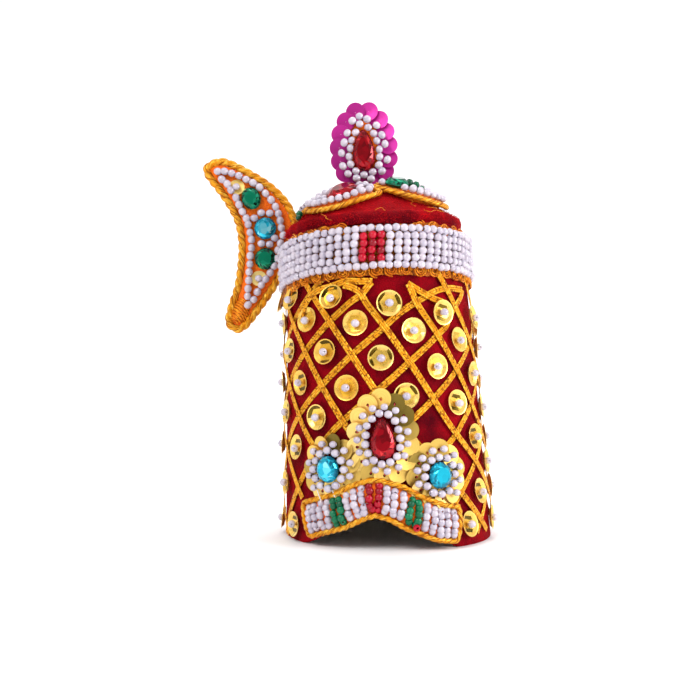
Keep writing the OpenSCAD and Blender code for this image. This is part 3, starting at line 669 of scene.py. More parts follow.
def glass_bead_finish(name, dark, light):
    finish, tree = new_finish(name, light, 0.2, Coat_Weight=0.3, Coat_Roughness=0.03,
                              Specular_IOR_Level=0.2)
    own = carried(tree)
    cloudy = tint(tree, spread(tree, mottle(tree, 0.6, 2), 0, 1, 0, 0.4),
                  tint(tree, own, dark, light), dark)
    dress(tree, cloudy, spread(tree, own, 0, 1, 0.14, 0.3))
    return finish


BEAD_FINISHES = {
    "pearl": pearl,
    "red_bead": glass_bead_finish("red_bead_glaze", (0.22, 0.0, 0.008), (0.56, 0.001, 0.022)),
    "green_bead": glass_bead_finish("green_bead_glaze", (0.0, 0.06, 0.024), (0.0, 0.21, 0.085)),
}


def set_beads(places, name, slot, node, diameter=1.84, length=1.76, hole=0.45):
    """A bead at each place, all as one piece"""
    set_on_crown(copies(bead(diameter, length, hole), places), name, BEAD_FINISHES[slot],
                 [node], smooth=80)


BAND_COLUMNS, STRING_BEADS, BAND_FRONT = 74, 79, -0.8
ring_r = 24.85 - PEARL / 2
white_places, red_places = [], []
for row in range(6):
    lying = row in (0, 5)
    count = STRING_BEADS if lying else BAND_COLUMNS
    for k in range(count):
        turn = 360 * k / count + BAND_FRONT + shake.uniform(-0.4, 0.4)
        if not lying:
            turn += 0.35 * (row - 2.5)
        h = (row - 2.5) * BAND_ROW + shake.uniform(-0.17, 0.17)
        off = ring_r + (0.1 if lying else 0) + shake.uniform(-0.24, 0.1)
        spot = off * away(turn) + Vector((0, 0, h))
        along = away(turn + 90) if lying else Vector((0, 0, 1)) + 0.2 * away(turn + 90)
        size = Vector((1.03, 1.03, 1.03) if lying else (1.1, 1.1, 1))
        place = at_band @ facing(spot, along, up=away(turn), turn=shake.uniform(0, 360),
                                 size=size * shake.uniform(0.96, 1.03))
        red = not lying and k in (0, 1, BAND_COLUMNS - 1)
        (red_places if red else white_places).append(place)
set_beads(white_places, "band_pearls", "pearl", "pearl_band", PEARL, PEARL * 0.96, 0.5)
set_beads(red_places, "band_red_beads", "red_bead", "red_bead_block", PEARL, PEARL * 0.96, 0.5)


# Ribbon lattice: narrow zari braid that zigzags over the velvet in two layers, crossing in
# diamonds. At the top most ribbons run in under the lace; a few fold back below it, slack.
ROW_HEIGHTS = tuple(enumerate((63.8, 57, 50.4, 43.2, 35.6, 28.1, 21, 12.9, 4.6, -4.4)))
RIBBONS = 11
RIBBON_TURN = 360 / RIBBONS
FIRST_COLUMN = -5.7
DRIFT_FROM = 28.0
RIBBON_W = 1.5


def row_z(level, turn):
    """Height of a row of crossings, which hangs lower at the back and at the viewer's right"""
    z = between(level, ROW_HEIGHTS, 1) + 6.8 * max(0, -level)
    return (z - 3.3 * ((1 - cos(radians(turn))) / 2) ** 1.3 * max(z, 0) / 67.3
            - 4.3 * sin(radians(turn)) * min(1, z / DRIFT_FROM))


def drift(z):
    """How many degrees the upper rows are shifted to the viewer's right"""
    return max(0.0, (z - DRIFT_FROM) * 0.42)


def lace_foot(turn):
    """Height of the lower edge of the lace"""
    return 60.52 + 1.92 * cos(radians(turn))


def column_turn(k):
    return FIRST_COLUMN + RIBBON_TURN * k


class Route:
    """A path with its outward directions, read by the share of its length"""

    def __init__(self, points, outs, closed=False):
        self.points = points + points[:1] if closed else points
        self.outs = outs + outs[:1] if closed else outs
        self.closed = closed
        self.runs = [0.0]
        for a, b in zip(self.points, self.points[1:]):
            self.runs.append(self.runs[-1] + (b - a).length)
        self.length = self.runs[-1]

    def at(self, share):
        run = max(0.0, min(1.0, share)) * self.length
        low = 0
        high = len(self.runs) - 1
        while high - low > 1:
            middle = (low + high) // 2
            if self.runs[middle] <= run:
                low = middle
            else:
                high = middle
        t = (run - self.runs[low]) / max(1e-9, self.runs[high] - self.runs[low])
        return self.points[low].lerp(self.points[high], t), self.outs[low].lerp(self.outs[high], t)

    def frame(self, share):
        """Spot, direction along, direction out and direction sideways"""
        reach = 0.4 / self.length
        if self.closed:
            before, after = self.at((share - reach) % 1.0)[0], self.at((share + reach) % 1.0)[0]
        else:
            before, after = self.at(share - reach)[0], self.at(share + reach)[0]
        spot, out = self.at(share % 1.0 if self.closed and share < 1 else share)
        along = (after - before).normalized()
        side = out.cross(along).normalized()
        return spot, along, along.cross(side), side


def ribbon_strip(route, lift):
    """Flat braid with three soft ridges, laid along a route at a lift off the velvet"""
    def shape(spot):
        share, v = spot.x + 0.5, spot.y * 2
        place, along, out, side = route.frame(share)
        ridge = 0.13 * abs(cos(v * 1.5 * pi)) ** 0.6
        return place + out * (0.14 + ridge + lift(share)) + side * (v * RIBBON_W / 2)
    return rolled_strip(max(8, int(route.length / 0.9)), 12, shape, 0.12, (route.length, RIBBON_W))


zari_ribbon = plaited_finish("gold_ribbon", (0.22, 0.05, 0.001), (0.82, 0.33, 0.008),
                             (1.0, 0.56, 0.05), 0.36, 3 / RIBBON_W, 0.9)


def wall_route(spots):
    """Route on the tube through (turn, height), smoothed"""
    curve = smooth_points([Vector(spot) for spot in spots], 6)
    return Route([on_wall(turn, z) for turn, z in curve], [away(turn) for turn, _ in curve])


def ribbon_route(k, way, folded):
    """Route of one lattice ribbon from its fold or from under the lace down to the hem"""
    spots = list(folded)
    level = -0.95
    while level <= 9.001:
        turn = column_turn(k + way * level / 2)
        z = row_z(level, turn)
        turn += drift(z)
        level += 0.25
        if z > (folded[-1][1] - 2 if folded else lace_foot(turn) + 2.4):
            continue
        hem = max(0.5, 0.4 + foot_z(turn))
        centred = (turn + 180) % 360 - 180
        if ARCH_START - 4.5 < centred < ARCH_END + 4.5:
            hem = max(hem, between(centred, ARCH, 1) + ARCH_EDGE - 0.3)
        if z < hem:
            break
        spots.append((turn, z))
    return wall_route(spots)


ARCH_START, ARCH_STEP, ARCH_COUNT = -43.5, 3.8, 21
ARCH_END = ARCH_START + ARCH_STEP * ARCH_COUNT
ARCH_EDGE = 3.95
# Ribbons that fold below the lace: their first spots as (turn, height), by way and number
FOLDS = {
    (-1, 0): ((-2.2, 61.2), (-4.6, 60.2), (-8.0, 58.6), (-16, 56.6)),
    (1, 0): ((18.4, 60.4), (20.2, 58.6), (23.4, 55.6)),
    (-1, 1): ((60.3, 59.4), (48, 59.6), (37.2, 58.9), (22.4, 56.1), (12, 53.6)),
    (-1, 2): ((60.9, 59.3), (58.6, 57.6), (47.2, 53.2)),
    (1, 10): ((342, 60.9), (346, 60.4), (350, 59.4), (352, 58.4)),
}
strips = []
for way, layer in ((-1, 0.05), (1, 0.45)):
    for k in range(RIBBONS):
        folded = FOLDS.get((way, k), ())
        spring = 0.6 if folded else 0.0  # a folded end springs off the velvet
        strips.append(ribbon_strip(ribbon_route(k, way, folded),
                                   lambda share: layer + spring * max(0, 1 - share * 9)))
slack = [
    ribbon_strip(wall_route(spots), lambda share: 0.55 + 0.05 * sin(share * pi) ** 0.7)
    for spots in (
        ((-1.6, 61.4), (-9.6, 61.6), (-17.1, 61.8), (-26.3, 60.9), (-36.7, 60.1), (-44.8, 57.6),
         (-51.7, 52.6)),
        ((18.2, 60.6), (22.8, 59.4), (27.6, 58.3), (34.1, 57.0), (42.1, 55.9), (48.6, 53.6)),
    )]
for half, name, node in ((strips[:RIBBONS], "ribbons_left", "lattice_left"),
                         (strips[RIBBONS:] + slack, "ribbons_right", "lattice_right")):
    set_on_crown(joined(half), name, zari_ribbon, [node], smooth=50)


# Cup sequins: thin gold cups with a narrow rim, six slanting facets and a wide six-sided
# floor, one in each diamond. A thread through the middle holds each with a pearl.
CUP = 3.0
# Turn, height, the oval's width and height, petals, the stone's width and height, pearls in
# the inner and in the outer ring
MEDALLIONS = {
    "centre": (0, 25.4, 16.9, 23, 14, 5.5, 9, 15, 15),
    "left": (-28.3, 18.8, 15.6, 16.5, 11, 5.5, 6, 12, 12),
    "right": (27.5, 16.4, 15.6, 16.5, 11, 5.5, 6, 12, 12),
}


def cup_sequin(radius, painted_dark_floor=False, painted_dark_facets=()):
    """Cup along Z; its floor may carry a painted dark reflection above and below, and so may its
    facets in the directions named, in degrees"""
    cup = primitive("circle", vertices=24, radius=radius, fill_type="NGON")
    edited(cup, *[("inset", {"thickness": share * radius}) for share in (0.09, 0.2, 0.4)])
    for point in cup.data.vertices:
        r = hypot(point.co.x, point.co.y) / radius
        turn = atan2(point.co.y, point.co.x)
        corner = cos(pi / 6) / cos((turn % (pi / 3)) - pi / 6)
        if r < 0.45:
            r, z = 0.3 * corner, 0.02
        elif r < 0.8:
            r, z = 0.74 * corner, 0.07
        elif r < 0.96:
            r, z = 0.91, 0.25
        else:
            z = 0.27
        point.co = radius * Vector((r * cos(turn), r * sin(turn), z))
    for face in cup.data.polygons:
        r = hypot(face.center.x, face.center.y) / radius
        turn = degrees(atan2(face.center.y, face.center.x))
        facet = round((turn - 30) / 60) * 60 + 30
        face.material_index = 0 if r < 0.62 else 1
        if 0.62 < r < 0.9 and facet % 360 in painted_dark_facets:
            face.material_index = 2
    up = cup.data.attributes.new("up", "FLOAT", "POINT")
    up.data.foreach_set("value", [point.co.y / radius * painted_dark_floor for point in cup.data.vertices])
    for finish in (foil, foil_rim, foil_painted_dark):
        cup.data.materials.append(finish)
    modified(cup, "SOLIDIFY", thickness=0.1, offset=0)
    edited(cup, OUTWARD)
    return cup


def foil_finish(name, deep, bright, rough, metal, with_painted_dark_floor=False):
    """Thin gold foil, crumpled a little, each piece of its own tone; the floor of a cup may carry
    a painted dark reflection above and below its middle"""
    finish, tree = new_finish(name, bright, rough, metal)
    colour = tint(tree, spread(tree, mottle(tree, 2.2, 2), 0, 1, 0, 0.5),
                  tint(tree, carried(tree), deep, bright), deep)
    if with_painted_dark_floor:
        # Painted dark reflection: the floor is painted dark olive above and below its middle
        painted_dark_mask = maths(tree, "ADD", maths(tree, "ABSOLUTE", carried(tree, "up")),
                       spread(tree, mottle(tree, 0.5, 2), 0, 1, -0.04, 0.04))
        colour = tint(tree, spread(tree, painted_dark_mask, 0.33, 0.37), colour, (0.13, 0.08, 0.006))
    dress(tree, colour, spread(tree, mottle(tree, 1.2, 3), 0, 1, rough * 0.7, rough * 1.5),
          mottle(tree, 0.9, 3), 0.02)
    return finish


foil = foil_finish("gold_foil", (0.86, 0.44, 0.03), (1.0, 0.68, 0.13), 0.26, 0.85, with_painted_dark_floor=True)
foil_rim = foil_finish("gold_foil_rim", (0.86, 0.50, 0.07), (1.0, 0.74, 0.22), 0.3, 0.6)
# Painted dark reflection: near-black foil for some facets of a cup
foil_painted_dark = foil_finish("gold_foil_painted_dark_reflection", (0.06, 0.035, 0.003), (0.20, 0.13, 0.012), 0.2, 0.9)


def bare_of_sequins(turn, z):
    """Where the arch band, a medallion or the gap between two medallions leaves no room"""
    if abs(turn) >= 90:
        return False
    under_arch = (ARCH_START < turn < ARCH_END + 4.5
                  and z < between(turn, ARCH, 1) + ARCH_EDGE + CUP)
    return under_arch or hypot(turn - 25, z - 26) < 4 or any(
        hypot(2 * wall_r(z) * sin(radians(turn - middle)) / w, 2 * (z - high) / h) < 1
        for middle, high, w, h, *_ in MEDALLIONS.values())


# Cups are bright all over, or carry painted dark reflections at two sides of the floor or on three
# facets
PAINTED_DARK = ((False, ()), (True, ()), (False, (30, 90, 270)))
cups, pearls = [[], [], []], []
for row in range(1, 9):
    for k in range(RIBBONS):
        turn = (column_turn(k + (0.5 if row % 2 == 0 else 0)) + 180) % 360 - 180
        z = max(row_z(row, turn), CUP + 0.5 + foot_z(turn))
        if row == 8 and abs(turn) < 65:
            turn += 3.5 if turn > 0 else -3.5
        turn += drift(z)
        room = lace_foot(turn) - z
        if room <= 0 or bare_of_sequins((turn + 180) % 360 - 180 if turn > 180 else turn, z):
            continue
        # The uppermost tuck under the lace and face a little upwards
        nod = WALL_SLOPE + (0.3 if room < CUP + 0.6 else shake.uniform(-0.1, 0.14))
        tilt = Vector((shake.uniform(-0.1, 0.1), shake.uniform(-0.06, 0.06), nod))
        aside = abs((turn + 180) % 360 - 180) % 180
        # Cups at the crown's sides mostly get the painted dark reflection on their floor
        kind = 1 if 38 < aside < 142 and shake.random() < 0.8 else shake.choice((0, 0, 0, 2))
        off = 1.0 if row == 1 else 0.25
        z -= 1.3 if row == 1 and aside < 60 else 0
        roll = shake.uniform(-16, 16) + (shake.choice((0, 60, 120)) if aside < 38 else 0)
        cups[kind].append(facing(on_wall(turn, z, off), away(turn) + tilt, turn=roll))
        if room > PEARL / 2 + 0.2:
            slip = Vector((shake.uniform(-0.15, 0.15), 0, shake.uniform(-0.2, 0.1)))
            pearls.append(facing(on_wall(turn, z, off + 0.25 + PEARL / 2) + slip,
                                 away(turn + shake.choice((62, -62))), turn=shake.uniform(0, 360)))
set_on_crown(joined([copies(cup_sequin(CUP, *painted_dark), places) for painted_dark, places in zip(PAINTED_DARK, cups)]),
             "cup_sequins", None, ["body_sequins"], smooth=8)
set_beads(pearls, "cup_pearls", "pearl", "sequin_pearls", 1.9, 1.8, 0.3)


# Arch band: a soft roll of orange cloth along the arched hem, wrapped with columns of beads
# in blocks of white, green and red. A twisted gold cord is sewn all round its edge.
def arch_point(turn, across, off):
    before, middle, after = (on_wall(t, between(t, ARCH, 1)) for t in (turn - 2, turn, turn + 2))
    side = away(turn).cross((after - before).normalized()).normalized()
    return middle + off * away(turn) + across * side


def arch_bead_spot(turn, across, off):
    """Spot in a column of beads, which stands more upright than the band's own direction"""
    square = arch_point(turn, across, off)
    upright = on_wall(turn, between(turn, ARCH, 1) + across, off)
    return square.lerp(upright, 0.6)


def pad_shape(spot):
    turn = ARCH_START - 1 + (ARCH_END - ARCH_START + 2) * (spot.x + 0.5)
    v = spot.y * 2
    swell = 0.55 + 0.75 * max(0.0, 1 - (v / 0.85) ** 2) ** 0.5 + 0.06 * sin(turn * 3.1)
    return arch_point(turn, v * ARCH_EDGE, swell)


felt, tree = new_finish(
    "orange_felt", (0.85, 0.16, 0.01), 0.9, Sheen_Weight=0.3, Sheen_Roughness=0.5,
    Sheen_Tint=(1, 0.5, 0.2, 1), Specular_IOR_Level=0.2)
fluff = mottle(tree, 0.4, 3)
dyed = tint(tree, fluff, tint(tree, mottle(tree, 5, 2), (0.66, 0.075, 0.003), (0.90, 0.14, 0.006)),
            (1.0, 0.20, 0.012))
dress(tree, dyed, spread(tree, fluff, 0, 1, 0.8, 0.98), fluff, 0.1)

arch_pad = rolled_strip(90, 18, pad_shape, 0.4)
set_on_crown(arch_pad, "arch_pad", felt, ["arch_backing"], smooth=70)

columns = (["white"] * 4 + ["green"] * 2 + ["white"] * 3 + ["red"] * 2 + ["white"] * 3
           + ["green"] * 2 + ["white"] * 5)
bead_places = {"white": [], "green": [], "red": []}
# Half the width and the height of a column of beads over the roll, and degrees between them
REACH, RISE, BEAD_STEP = 2.85, 1.15, 33
for index, colour in enumerate(columns):
    turn = ARCH_START + ARCH_STEP * (index + 0.5) + shake.uniform(-0.25, 0.25)
    slip = shake.uniform(-4, 4)
    for k in range(5):
        round_turn = radians((k - 2) * BEAD_STEP + slip)
        across = -REACH * sin(round_turn) + shake.uniform(-0.18, 0.18)
        off = 0.8 + RISE * cos(round_turn) + shake.uniform(-0.16, 0.12)
        lean = turn + shake.uniform(-0.5, 0.5)
        spot = arch_bead_spot(lean, across, off)
        along = arch_bead_spot(lean, across - REACH * cos(round_turn), off - RISE * sin(round_turn))
        along += Vector([shake.uniform(-1.2, 1.2) for _ in range(3)]) - spot
        bead_places[colour].append(shaken(spot, along, 0.94, 1.04, away(lean)))
for colour, slot in (("white", "pearl"), ("green", "green_bead"), ("red", "red_bead")):
    set_beads(bead_places[colour], "arch_" + colour + "_beads", slot, "arch_beads_" + colour,
              1.84, 1.7, 0.4)


def twisted_cord(route, radius, lay=1.6):
    """Two plies of wound thread laid round each other along a route"""
    turns = max(1, round(route.length / lay))

    def shape(spot):
        share, v = spot.x + 0.5, 2 * pi * (spot.y + 0.5)
        place, along, out, side = route.frame(share)
        plies = 0.66 + 0.4 * abs(cos(v - pi * turns * share)) ** 0.8
        return place + radius * plies * (cos(v) * out + sin(v) * side)
    return rolled_strip(int(route.length / 0.25), 16, shape, 0.0, (route.length, 2 * pi * radius))


cord_gold = plaited_finish("twisted_gold_cord", (0.26, 0.055, 0.001), (0.88, 0.34, 0.006),
                           (1.0, 0.60, 0.07), 0.26, turn=52, depth=0.12)

loop = []
for start, end, first_turn in ((ARCH_START, ARCH_END, 0), (ARCH_END, ARCH_START, 180)):
    edge = ARCH_EDGE * (1 if first_turn == 0 else -1)
    loop += [(start + i * (end - start) / 44, edge) for i in range(45)]
    loop += [(end + 2.2 * sin(radians(t)), ARCH_EDGE * cos(radians(t)))
             for t in range(first_turn + 15, first_turn + 180, 15)]
ARCH_CORD_R = 0.64
arch_cord = twisted_cord(Route([arch_point(turn, across, 1.4) for turn, across in loop],
                               [away(turn) for turn, _ in loop], True), ARCH_CORD_R)
set_on_crown(arch_cord, "arch_gold_cord", cord_gold, ["arch_cord"], smooth=70)

# One red bead came loose from its block and sits among the white ones
set_beads([facing(arch_point(16.5, -3.0, 2.3), away(16.5))], "arch_stray_red_bead", "red_bead",
          "arch_beads_red", 1.7, 1.6, 0.5)


# Medallions: flat gold sequins that overlap round an oval like petals, two rings of pearls
# and a cut stone in the middle, all sewn through the velvet.
def oval_spots(w, h, count, start=0.0):
    """Spots at even distances round an oval, as (across, up), from its right side"""
    turns = [2 * pi * k / 240 for k in range(240)]
    fine = [Vector((w / 2 * cos(turn), h / 2 * sin(turn))) for turn in turns]
    route = Route(fine, fine, closed=True)
    return [route.at((k + start) / count % 1.0)[0] for k in range(count)]


def flat_sequin(radius, hole=0.15):
    """Flat round sequin, dished a little, with a needle hole of a share of its radius"""
    one = primitive("circle", vertices=24, radius=radius, fill_type="NGON")
    edited(one, ("inset", {"thickness": radius * 0.3}),
           ("inset", {"thickness": radius * (0.7 - hole)}), ("delete", {"type": "FACE"}))
    bend(one, lambda spot: Vector((spot.x, spot.y, 0.02 * hypot(spot.x, spot.y) ** 2)))
    modified(one, "SOLIDIFY", thickness=0.1, offset=0)
    edited(one, OUTWARD)
    return one


def brushed_finish(name, dark, middle, pale, rough, metal):
    """Brushed foil that goes from dark to pale by each sequin's own shade, with fine rings"""
    finish, tree = new_finish(name, middle, rough, metal)
    own = carried(tree)
    from_middle = add(tree, "VectorMath", {"operation": "DISTANCE"},
                      _0=add(tree, "UVMap").outputs["UV"], _1=(0.5, 0.5, 0.0))
    grain = add(tree, "CombineXYZ", None, _0=from_middle.outputs["Value"], _1=own)
    lines = add(tree, "TexNoise", None, Vector=grain.outputs[0], Scale=42.0,
                Detail=2.0).outputs["Fac"]
    tone = tint(tree, spread(tree, own, 0.5, 1.0),
                tint(tree, spread(tree, own, 0.0, 0.5), dark, middle), pale)
    dress(tree, tint(tree, spread(tree, lines, 0.3, 0.7, 0, 0.3), tone, dark),
          spread(tree, lines, 0.3, 0.7, rough * 0.8, rough * 1.3), lines, 0.012)
    return finish


brushed_foil = brushed_finish("brushed_gold_foil", (0.22, 0.15, 0.02), (1.0, 0.64, 0.14),
                              (1.0, 0.86, 0.42), 0.36, 0.7)


FACETS = 16


def cut_stone(kind, w, h, height, table):
    """Faceted oval or drop, along Z: foot, girdle, two rows of crown facets and a table. The
    table's painted reflection, from dark 0 to bright 1, is given, and each other facet's is random"""
    stone = primitive("cylinder", 0.5, vertices=FACETS, radius=1, depth=1)
    edited(stone, ("subdivide", {"number_cuts": 3}), kind="EDGE", test=upright)
    girdle = []
    for k in range(FACETS):
        turn = 2 * pi * k / FACETS + (pi / 2 if kind == "drop" else 0)
        narrow = (1 - 0.3 * sin(turn)) / 1.04 if kind == "drop" else 1
        girdle.append(Vector((w / 2 * cos(turn) * narrow, h / 2 * sin(turn), 0)))
    # Height and size of each ring as shares, and whether it is turned by half a facet
    rings = ((0.0, 0.8, 0), (0.3, 1.0, 0), (0.42, 1.0, 0), (0.76, 0.86, 0.5), (1.0, 0.6, 0))
    for point in stone.data.vertices:
        ring = rings[round(point.co.z * 4)]
        index = round((atan2(point.co.y, point.co.x) % (2 * pi)) / (2 * pi) * FACETS) % FACETS
        spot = girdle[index].copy()
        if ring[2]:
            spot = spot.lerp(girdle[(index + 1) % FACETS], ring[2])
        point.co = Vector((spot.x * ring[1], spot.y * ring[1], height * ring[0]))
    edited(stone, ("quads_convert_to_tris", {"quad_method": "FIXED"}), OUTWARD)
    facets = stone.data.attributes.new("facet", "FLOAT", "FACE")
    facets.data.foreach_set("value", [
        table if face.center.z > height * 0.99 else shake.uniform(0, 0.9)
        for face in stone.data.polygons])
    return stone


def stone_finish(name, deep, bright, painted_glint, broken):
    """Clear acrylic over foil, with painted reflections: each facet, and each reflection inside it,
    painted of its own depth, the brightest as a painted glint
    """
    finish, tree = new_finish(name, bright, 0.08, 0.65, Coat_Weight=0.25, Coat_Roughness=0.02,
                              Specular_IOR_Level=0.3)
    inside = add(tree, "TexVoronoi", {"feature": "F1"}, Scale=650.0, Randomness=0.9,
                 Vector=add(tree, "TexCoord").outputs["Object"])
    splinters = add(tree, "SeparateColor", None, _0=inside.outputs["Color"])
    depth = add(tree, "Mix", {"data_type": "FLOAT"}, _0=broken, _2=carried(tree, "facet"),
                _3=splinters.outputs[0]).outputs[0]
    # Painted reflection and highlight: deep to bright by facet and splinter, the brightest turned
    # to the glint colour
    colour = tint(tree, spread(tree, depth, 0.74, 0.95),
                  tint(tree, spread(tree, depth, 0.2, 0.75), deep, bright), painted_glint)
    dress(tree, colour, spread(tree, splinters.outputs[2], 0, 1, 0.04, 0.14))
    return finish


STONES = {
    "red_stone": stone_finish(
        "ruby_stone", (0.10, 0.0, 0.002), (0.52, 0.002, 0.012), (0.85, 0.05, 0.05), 0.4),
    "aqua_stone": stone_finish(
        "aqua_stone", (0.0, 0.13, 0.22), (0.01, 0.58, 0.80), (0.55, 1.0, 1.0), 0.42),
    "green_stone": stone_finish(
        "emerald_stone", (0.0, 0.035, 0.018), (0.0, 0.28, 0.14), (0.04, 0.6, 0.34), 0.16),
}


def set_stone(stone, place, name, slot, node):
    stone.matrix_world = place
    set_on_crown(stone, name, STONES[slot], [node], smooth=0)


PLATE = 1.0  # the petals' distance from the tube
PETAL_R = 2.42


def round_the_wall(middle, z, across, up, off):
    """Spot on the tube at a distance across and up from a medallion's middle"""
    height = z + up
    turn = middle + degrees(asin(across / (wall_r(height) + off)))
    return turn, height, on_wall(turn, height, off)


def clear_of_arch(turn, height):
    """How far above the upper edge of the arch band's cord a spot is"""
    return height - between(turn, ARCH, 1) - ARCH_EDGE - ARCH_CORD_R


stitches = []
for side, (middle, z, w, h, petals, stone_w, stone_h, inner, outer) in MEDALLIONS.items():
    places, shades = [], []
    for spot in oval_spots(w - 4.9, h - 4.9, petals, 0.5):
        turn, height, place = round_the_wall(middle, z, spot.x, spot.y, PLATE + 0.25)
        low = max(0.0, 0.9 - clear_of_arch(turn, height))
        turn, height, place = round_the_wall(
            middle, z, spot.x, spot.y + low, PLATE + 0.25 + 0.1 * low)
        radial = Vector((spot.x, spot.y)).normalized()
        side_way = away(turn + 90) * -radial.y + Vector((0, 0, radial.x))
        out = away(turn) + 0.22 * side_way + Vector((0, 0, shake.uniform(-0.08, 0.1)))
        places.append(shaken(place, out, 0.97, 1.04))
        # Painted reflection: petals are painted paler towards the lower left and darker towards the
        # upper right, and a few, more of those at the right, are painted darker still
        tone = 0.5 - 0.1 * radial.y - 0.12 * radial.x + shake.uniform(-0.1, 0.1)
        dark = 0.4 if shake.random() < 0.14 + 0.24 * (side == "right") else 0
        shades.append(max(0.0, min(1.0, tone - dark)))
        # The red thread that holds the petal
        hold = place + 0.12 * away(turn)
        inwards = away(turn + 90) * -radial.x - Vector((0, 0, radial.y))
        stitches.append(thread_mesh([hold - 0.1 * away(turn), hold + 0.15 * inwards,
                                     hold + 0.5 * inwards + 0.05 * away(turn)], 0.14, 1))
    node = "medallion_" + side
    set_on_crown(copies(flat_sequin(PETAL_R), places, shades), node + "_gold_petals",
                 brushed_foil, [node + "_petals"], smooth=30)
    places = []
    rings = ((stone_w + PEARL + 0.56, stone_h + PEARL + 0.56, inner, 0.0, PEARL, PLATE + 0.5),
             (stone_w + PEARL * 3 + 0.3, stone_h + PEARL * 3 + 0.3, outer, 0.5, 1.66, PLATE + 0.55))
    for ring_w, ring_h, count, start, d, off in rings:
        for spot in oval_spots(ring_w, ring_h, count, start):
            push = 1 + shake.uniform(-0.03, 0.04)
            turn, height, place = round_the_wall(
                middle, z, spot.x * push, spot.y * push, off + d / 2)
            if clear_of_arch(turn, height) > d / 2 - 0.1:
                places.append(facing(place, away(turn + 90), away(turn), shake.uniform(0, 360),
                                     d / PEARL * shake.uniform(0.96, 1.03)))
    set_beads(places, node + "_pearl_rings", "pearl", node + "_pearls", PEARL, 1.75, 0.5)
    kind, slot, table = "oval", "aqua_stone", 0.72
    if side == "centre":
        kind, slot, table = "drop", "red_stone", 0.5
    set_stone(cut_stone(kind, stone_w + 0.2, stone_h + 0.2, 2.4, table),
              facing(on_wall(middle, z, PLATE + 0.5), away(middle) + Vector((0, 0, WALL_SLOPE))),
              node + "_cut_stone", slot, node + "_stone")


def sewing_thread(name, colour, dark, pale):
    finish, tree = new_finish(name, colour, 0.6, Sheen_Weight=0.3)
    dress(tree, tint(tree, mottle(tree, 0.2, 2), dark, pale))
    return finish


red_thread = sewing_thread(
    "red_sewing_thread", (0.5, 0.01, 0.01), (0.30, 0.004, 0.004), (0.66, 0.02, 0.015))
set_on_crown(joined(stitches), "medallion_stitches", red_thread,
             ["medallion_centre_petals", "medallion_left_petals", "medallion_right_petals"],
             smooth=60)

# White thread that shows where the left medallion was mended
white_thread = sewing_thread(
    "white_sewing_thread", (0.8, 0.78, 0.76), (0.66, 0.62, 0.60), (0.86, 0.84, 0.84))
mends = [thread_mesh([on_wall(turn, z, 2.1) for turn, z in ends], 0.14) for ends in (
    ((-35.4, 14.1), (-34.2, 12.8), (-33.0, 11.6)), ((-26.5, 14.2), (-25.7, 13.4), (-25.2, 12.6)))]
set_on_crown(joined(mends), "medallion_white_stitches", white_thread, ["medallion_left_petals"],
             smooth=60)


# Crescent: flat orange felt cut to a crescent and sewn behind the bead band at the viewer's
# left. A thick twisted gold cord runs round its edge, with pearls, stones and two sequins.
CRESCENT = (
    (-43.9, 96.3), (-41.8, 98.5), (-38.4, 98.4), (-32.2, 94.9), (-26.4, 90.6), (-22.3, 85.2),
    (-20.8, 78.5), (-22.3, 72.5), (-25.6, 67.4), (-29.4, 62), (-34.6, 55.6), (-37.4, 53.8),
    (-39.7, 55.6), (-38.9, 59.6), (-36.9, 65), (-35.7, 71.4), (-35.3, 77.5), (-36.4, 83.6),
    (-39.8, 90),
)
CRESCENT_Y = 8.9
edge = smooth_points([Vector((x, 0, z)) for x, z in CRESCENT], 6, closed=True)


def inset_spot(index, by):
    """Point of the crescent's edge moved inwards"""
    along = (edge[(index + 1) % len(edge)] - edge[index - 1]).normalized()
    return edge[index] + by * Vector((along.z, 0, -along.x))


def clear_of_band(spot, y):
    """Keeps the crescent outside the bead band and the cap"""
    for top, r in ((76.5, 25.1), (82, 22.1)):
        if spot.z < top:
            spot.x = min(spot.x, -sqrt(r ** 2 - y * y))
            break
    return spot


def flat_board(outline, y, thick, edge):
    """A stiff board cut to an outline that is upright and faces the front, with a soft edge"""
    board = primitive("circle", vertices=len(outline), radius=1, fill_type="NGON")
    for point, spot in zip(board.data.vertices, outline):
        point.co = Vector((spot.x, y, spot.z))
    edited(board, ("extrude_region_move", {"TRANSFORM_OT_translate": {"value": (0, thick, 0)}}),
           ("select_all", {"action": "SELECT"}), OUTWARD)
    modified(board, "BEVEL", width=edge, segments=2, limit_method="ANGLE", angle_limit=radians(60))
    return board


outline = [clear_of_band(inset_spot(i, 0.9), CRESCENT_Y) for i in range(len(edge))]
set_on_crown(flat_board(outline, CRESCENT_Y, 1.2, 0.2), "crescent_orange_felt", felt,
             ["crescent_felt"], smooth=50)

middle_y = CRESCENT_Y + 0.4
free = [i for i in range(len(edge)) if hypot(edge[i].x, middle_y) > 25.6 or edge[i].z > 77.2]
first = next(i for i in free if (i - 1) % len(edge) not in free)
order = [(first + k) % len(edge) for k in range(len(free))]
spots = [Vector((edge[i].x, middle_y, edge[i].z)) for i in order]
crescent_cord = twisted_cord(Route(spots, [Vector((0, -1, 0))] * len(spots)), 1.1, 2.4)
set_on_crown(crescent_cord, "crescent_gold_cord", cord_gold, ["crescent_cord"], smooth=70)
# At the lower tip the end of the cord is wound round and sewn down as a thick knob
knot_top, knot_foot = Vector((-35.2, middle_y, 61.2)), Vector((-37.7, middle_y, 55.6))
knot_side = Vector((-0.91, 0, 0.41))
knot = thread_mesh([
    knot_top.lerp(knot_foot, k / 95) + (1.3 + 0.8 * sin(k / 95 * pi)) * (
        cos(0.55 * k) * knot_side + 0.62 * sin(0.55 * k) * Vector((0, -1, 0)))
    for k in range(96)], 0.42, 3)
set_on_crown(knot, "crescent_cord_knot", zari, ["crescent_cord"], smooth=70)

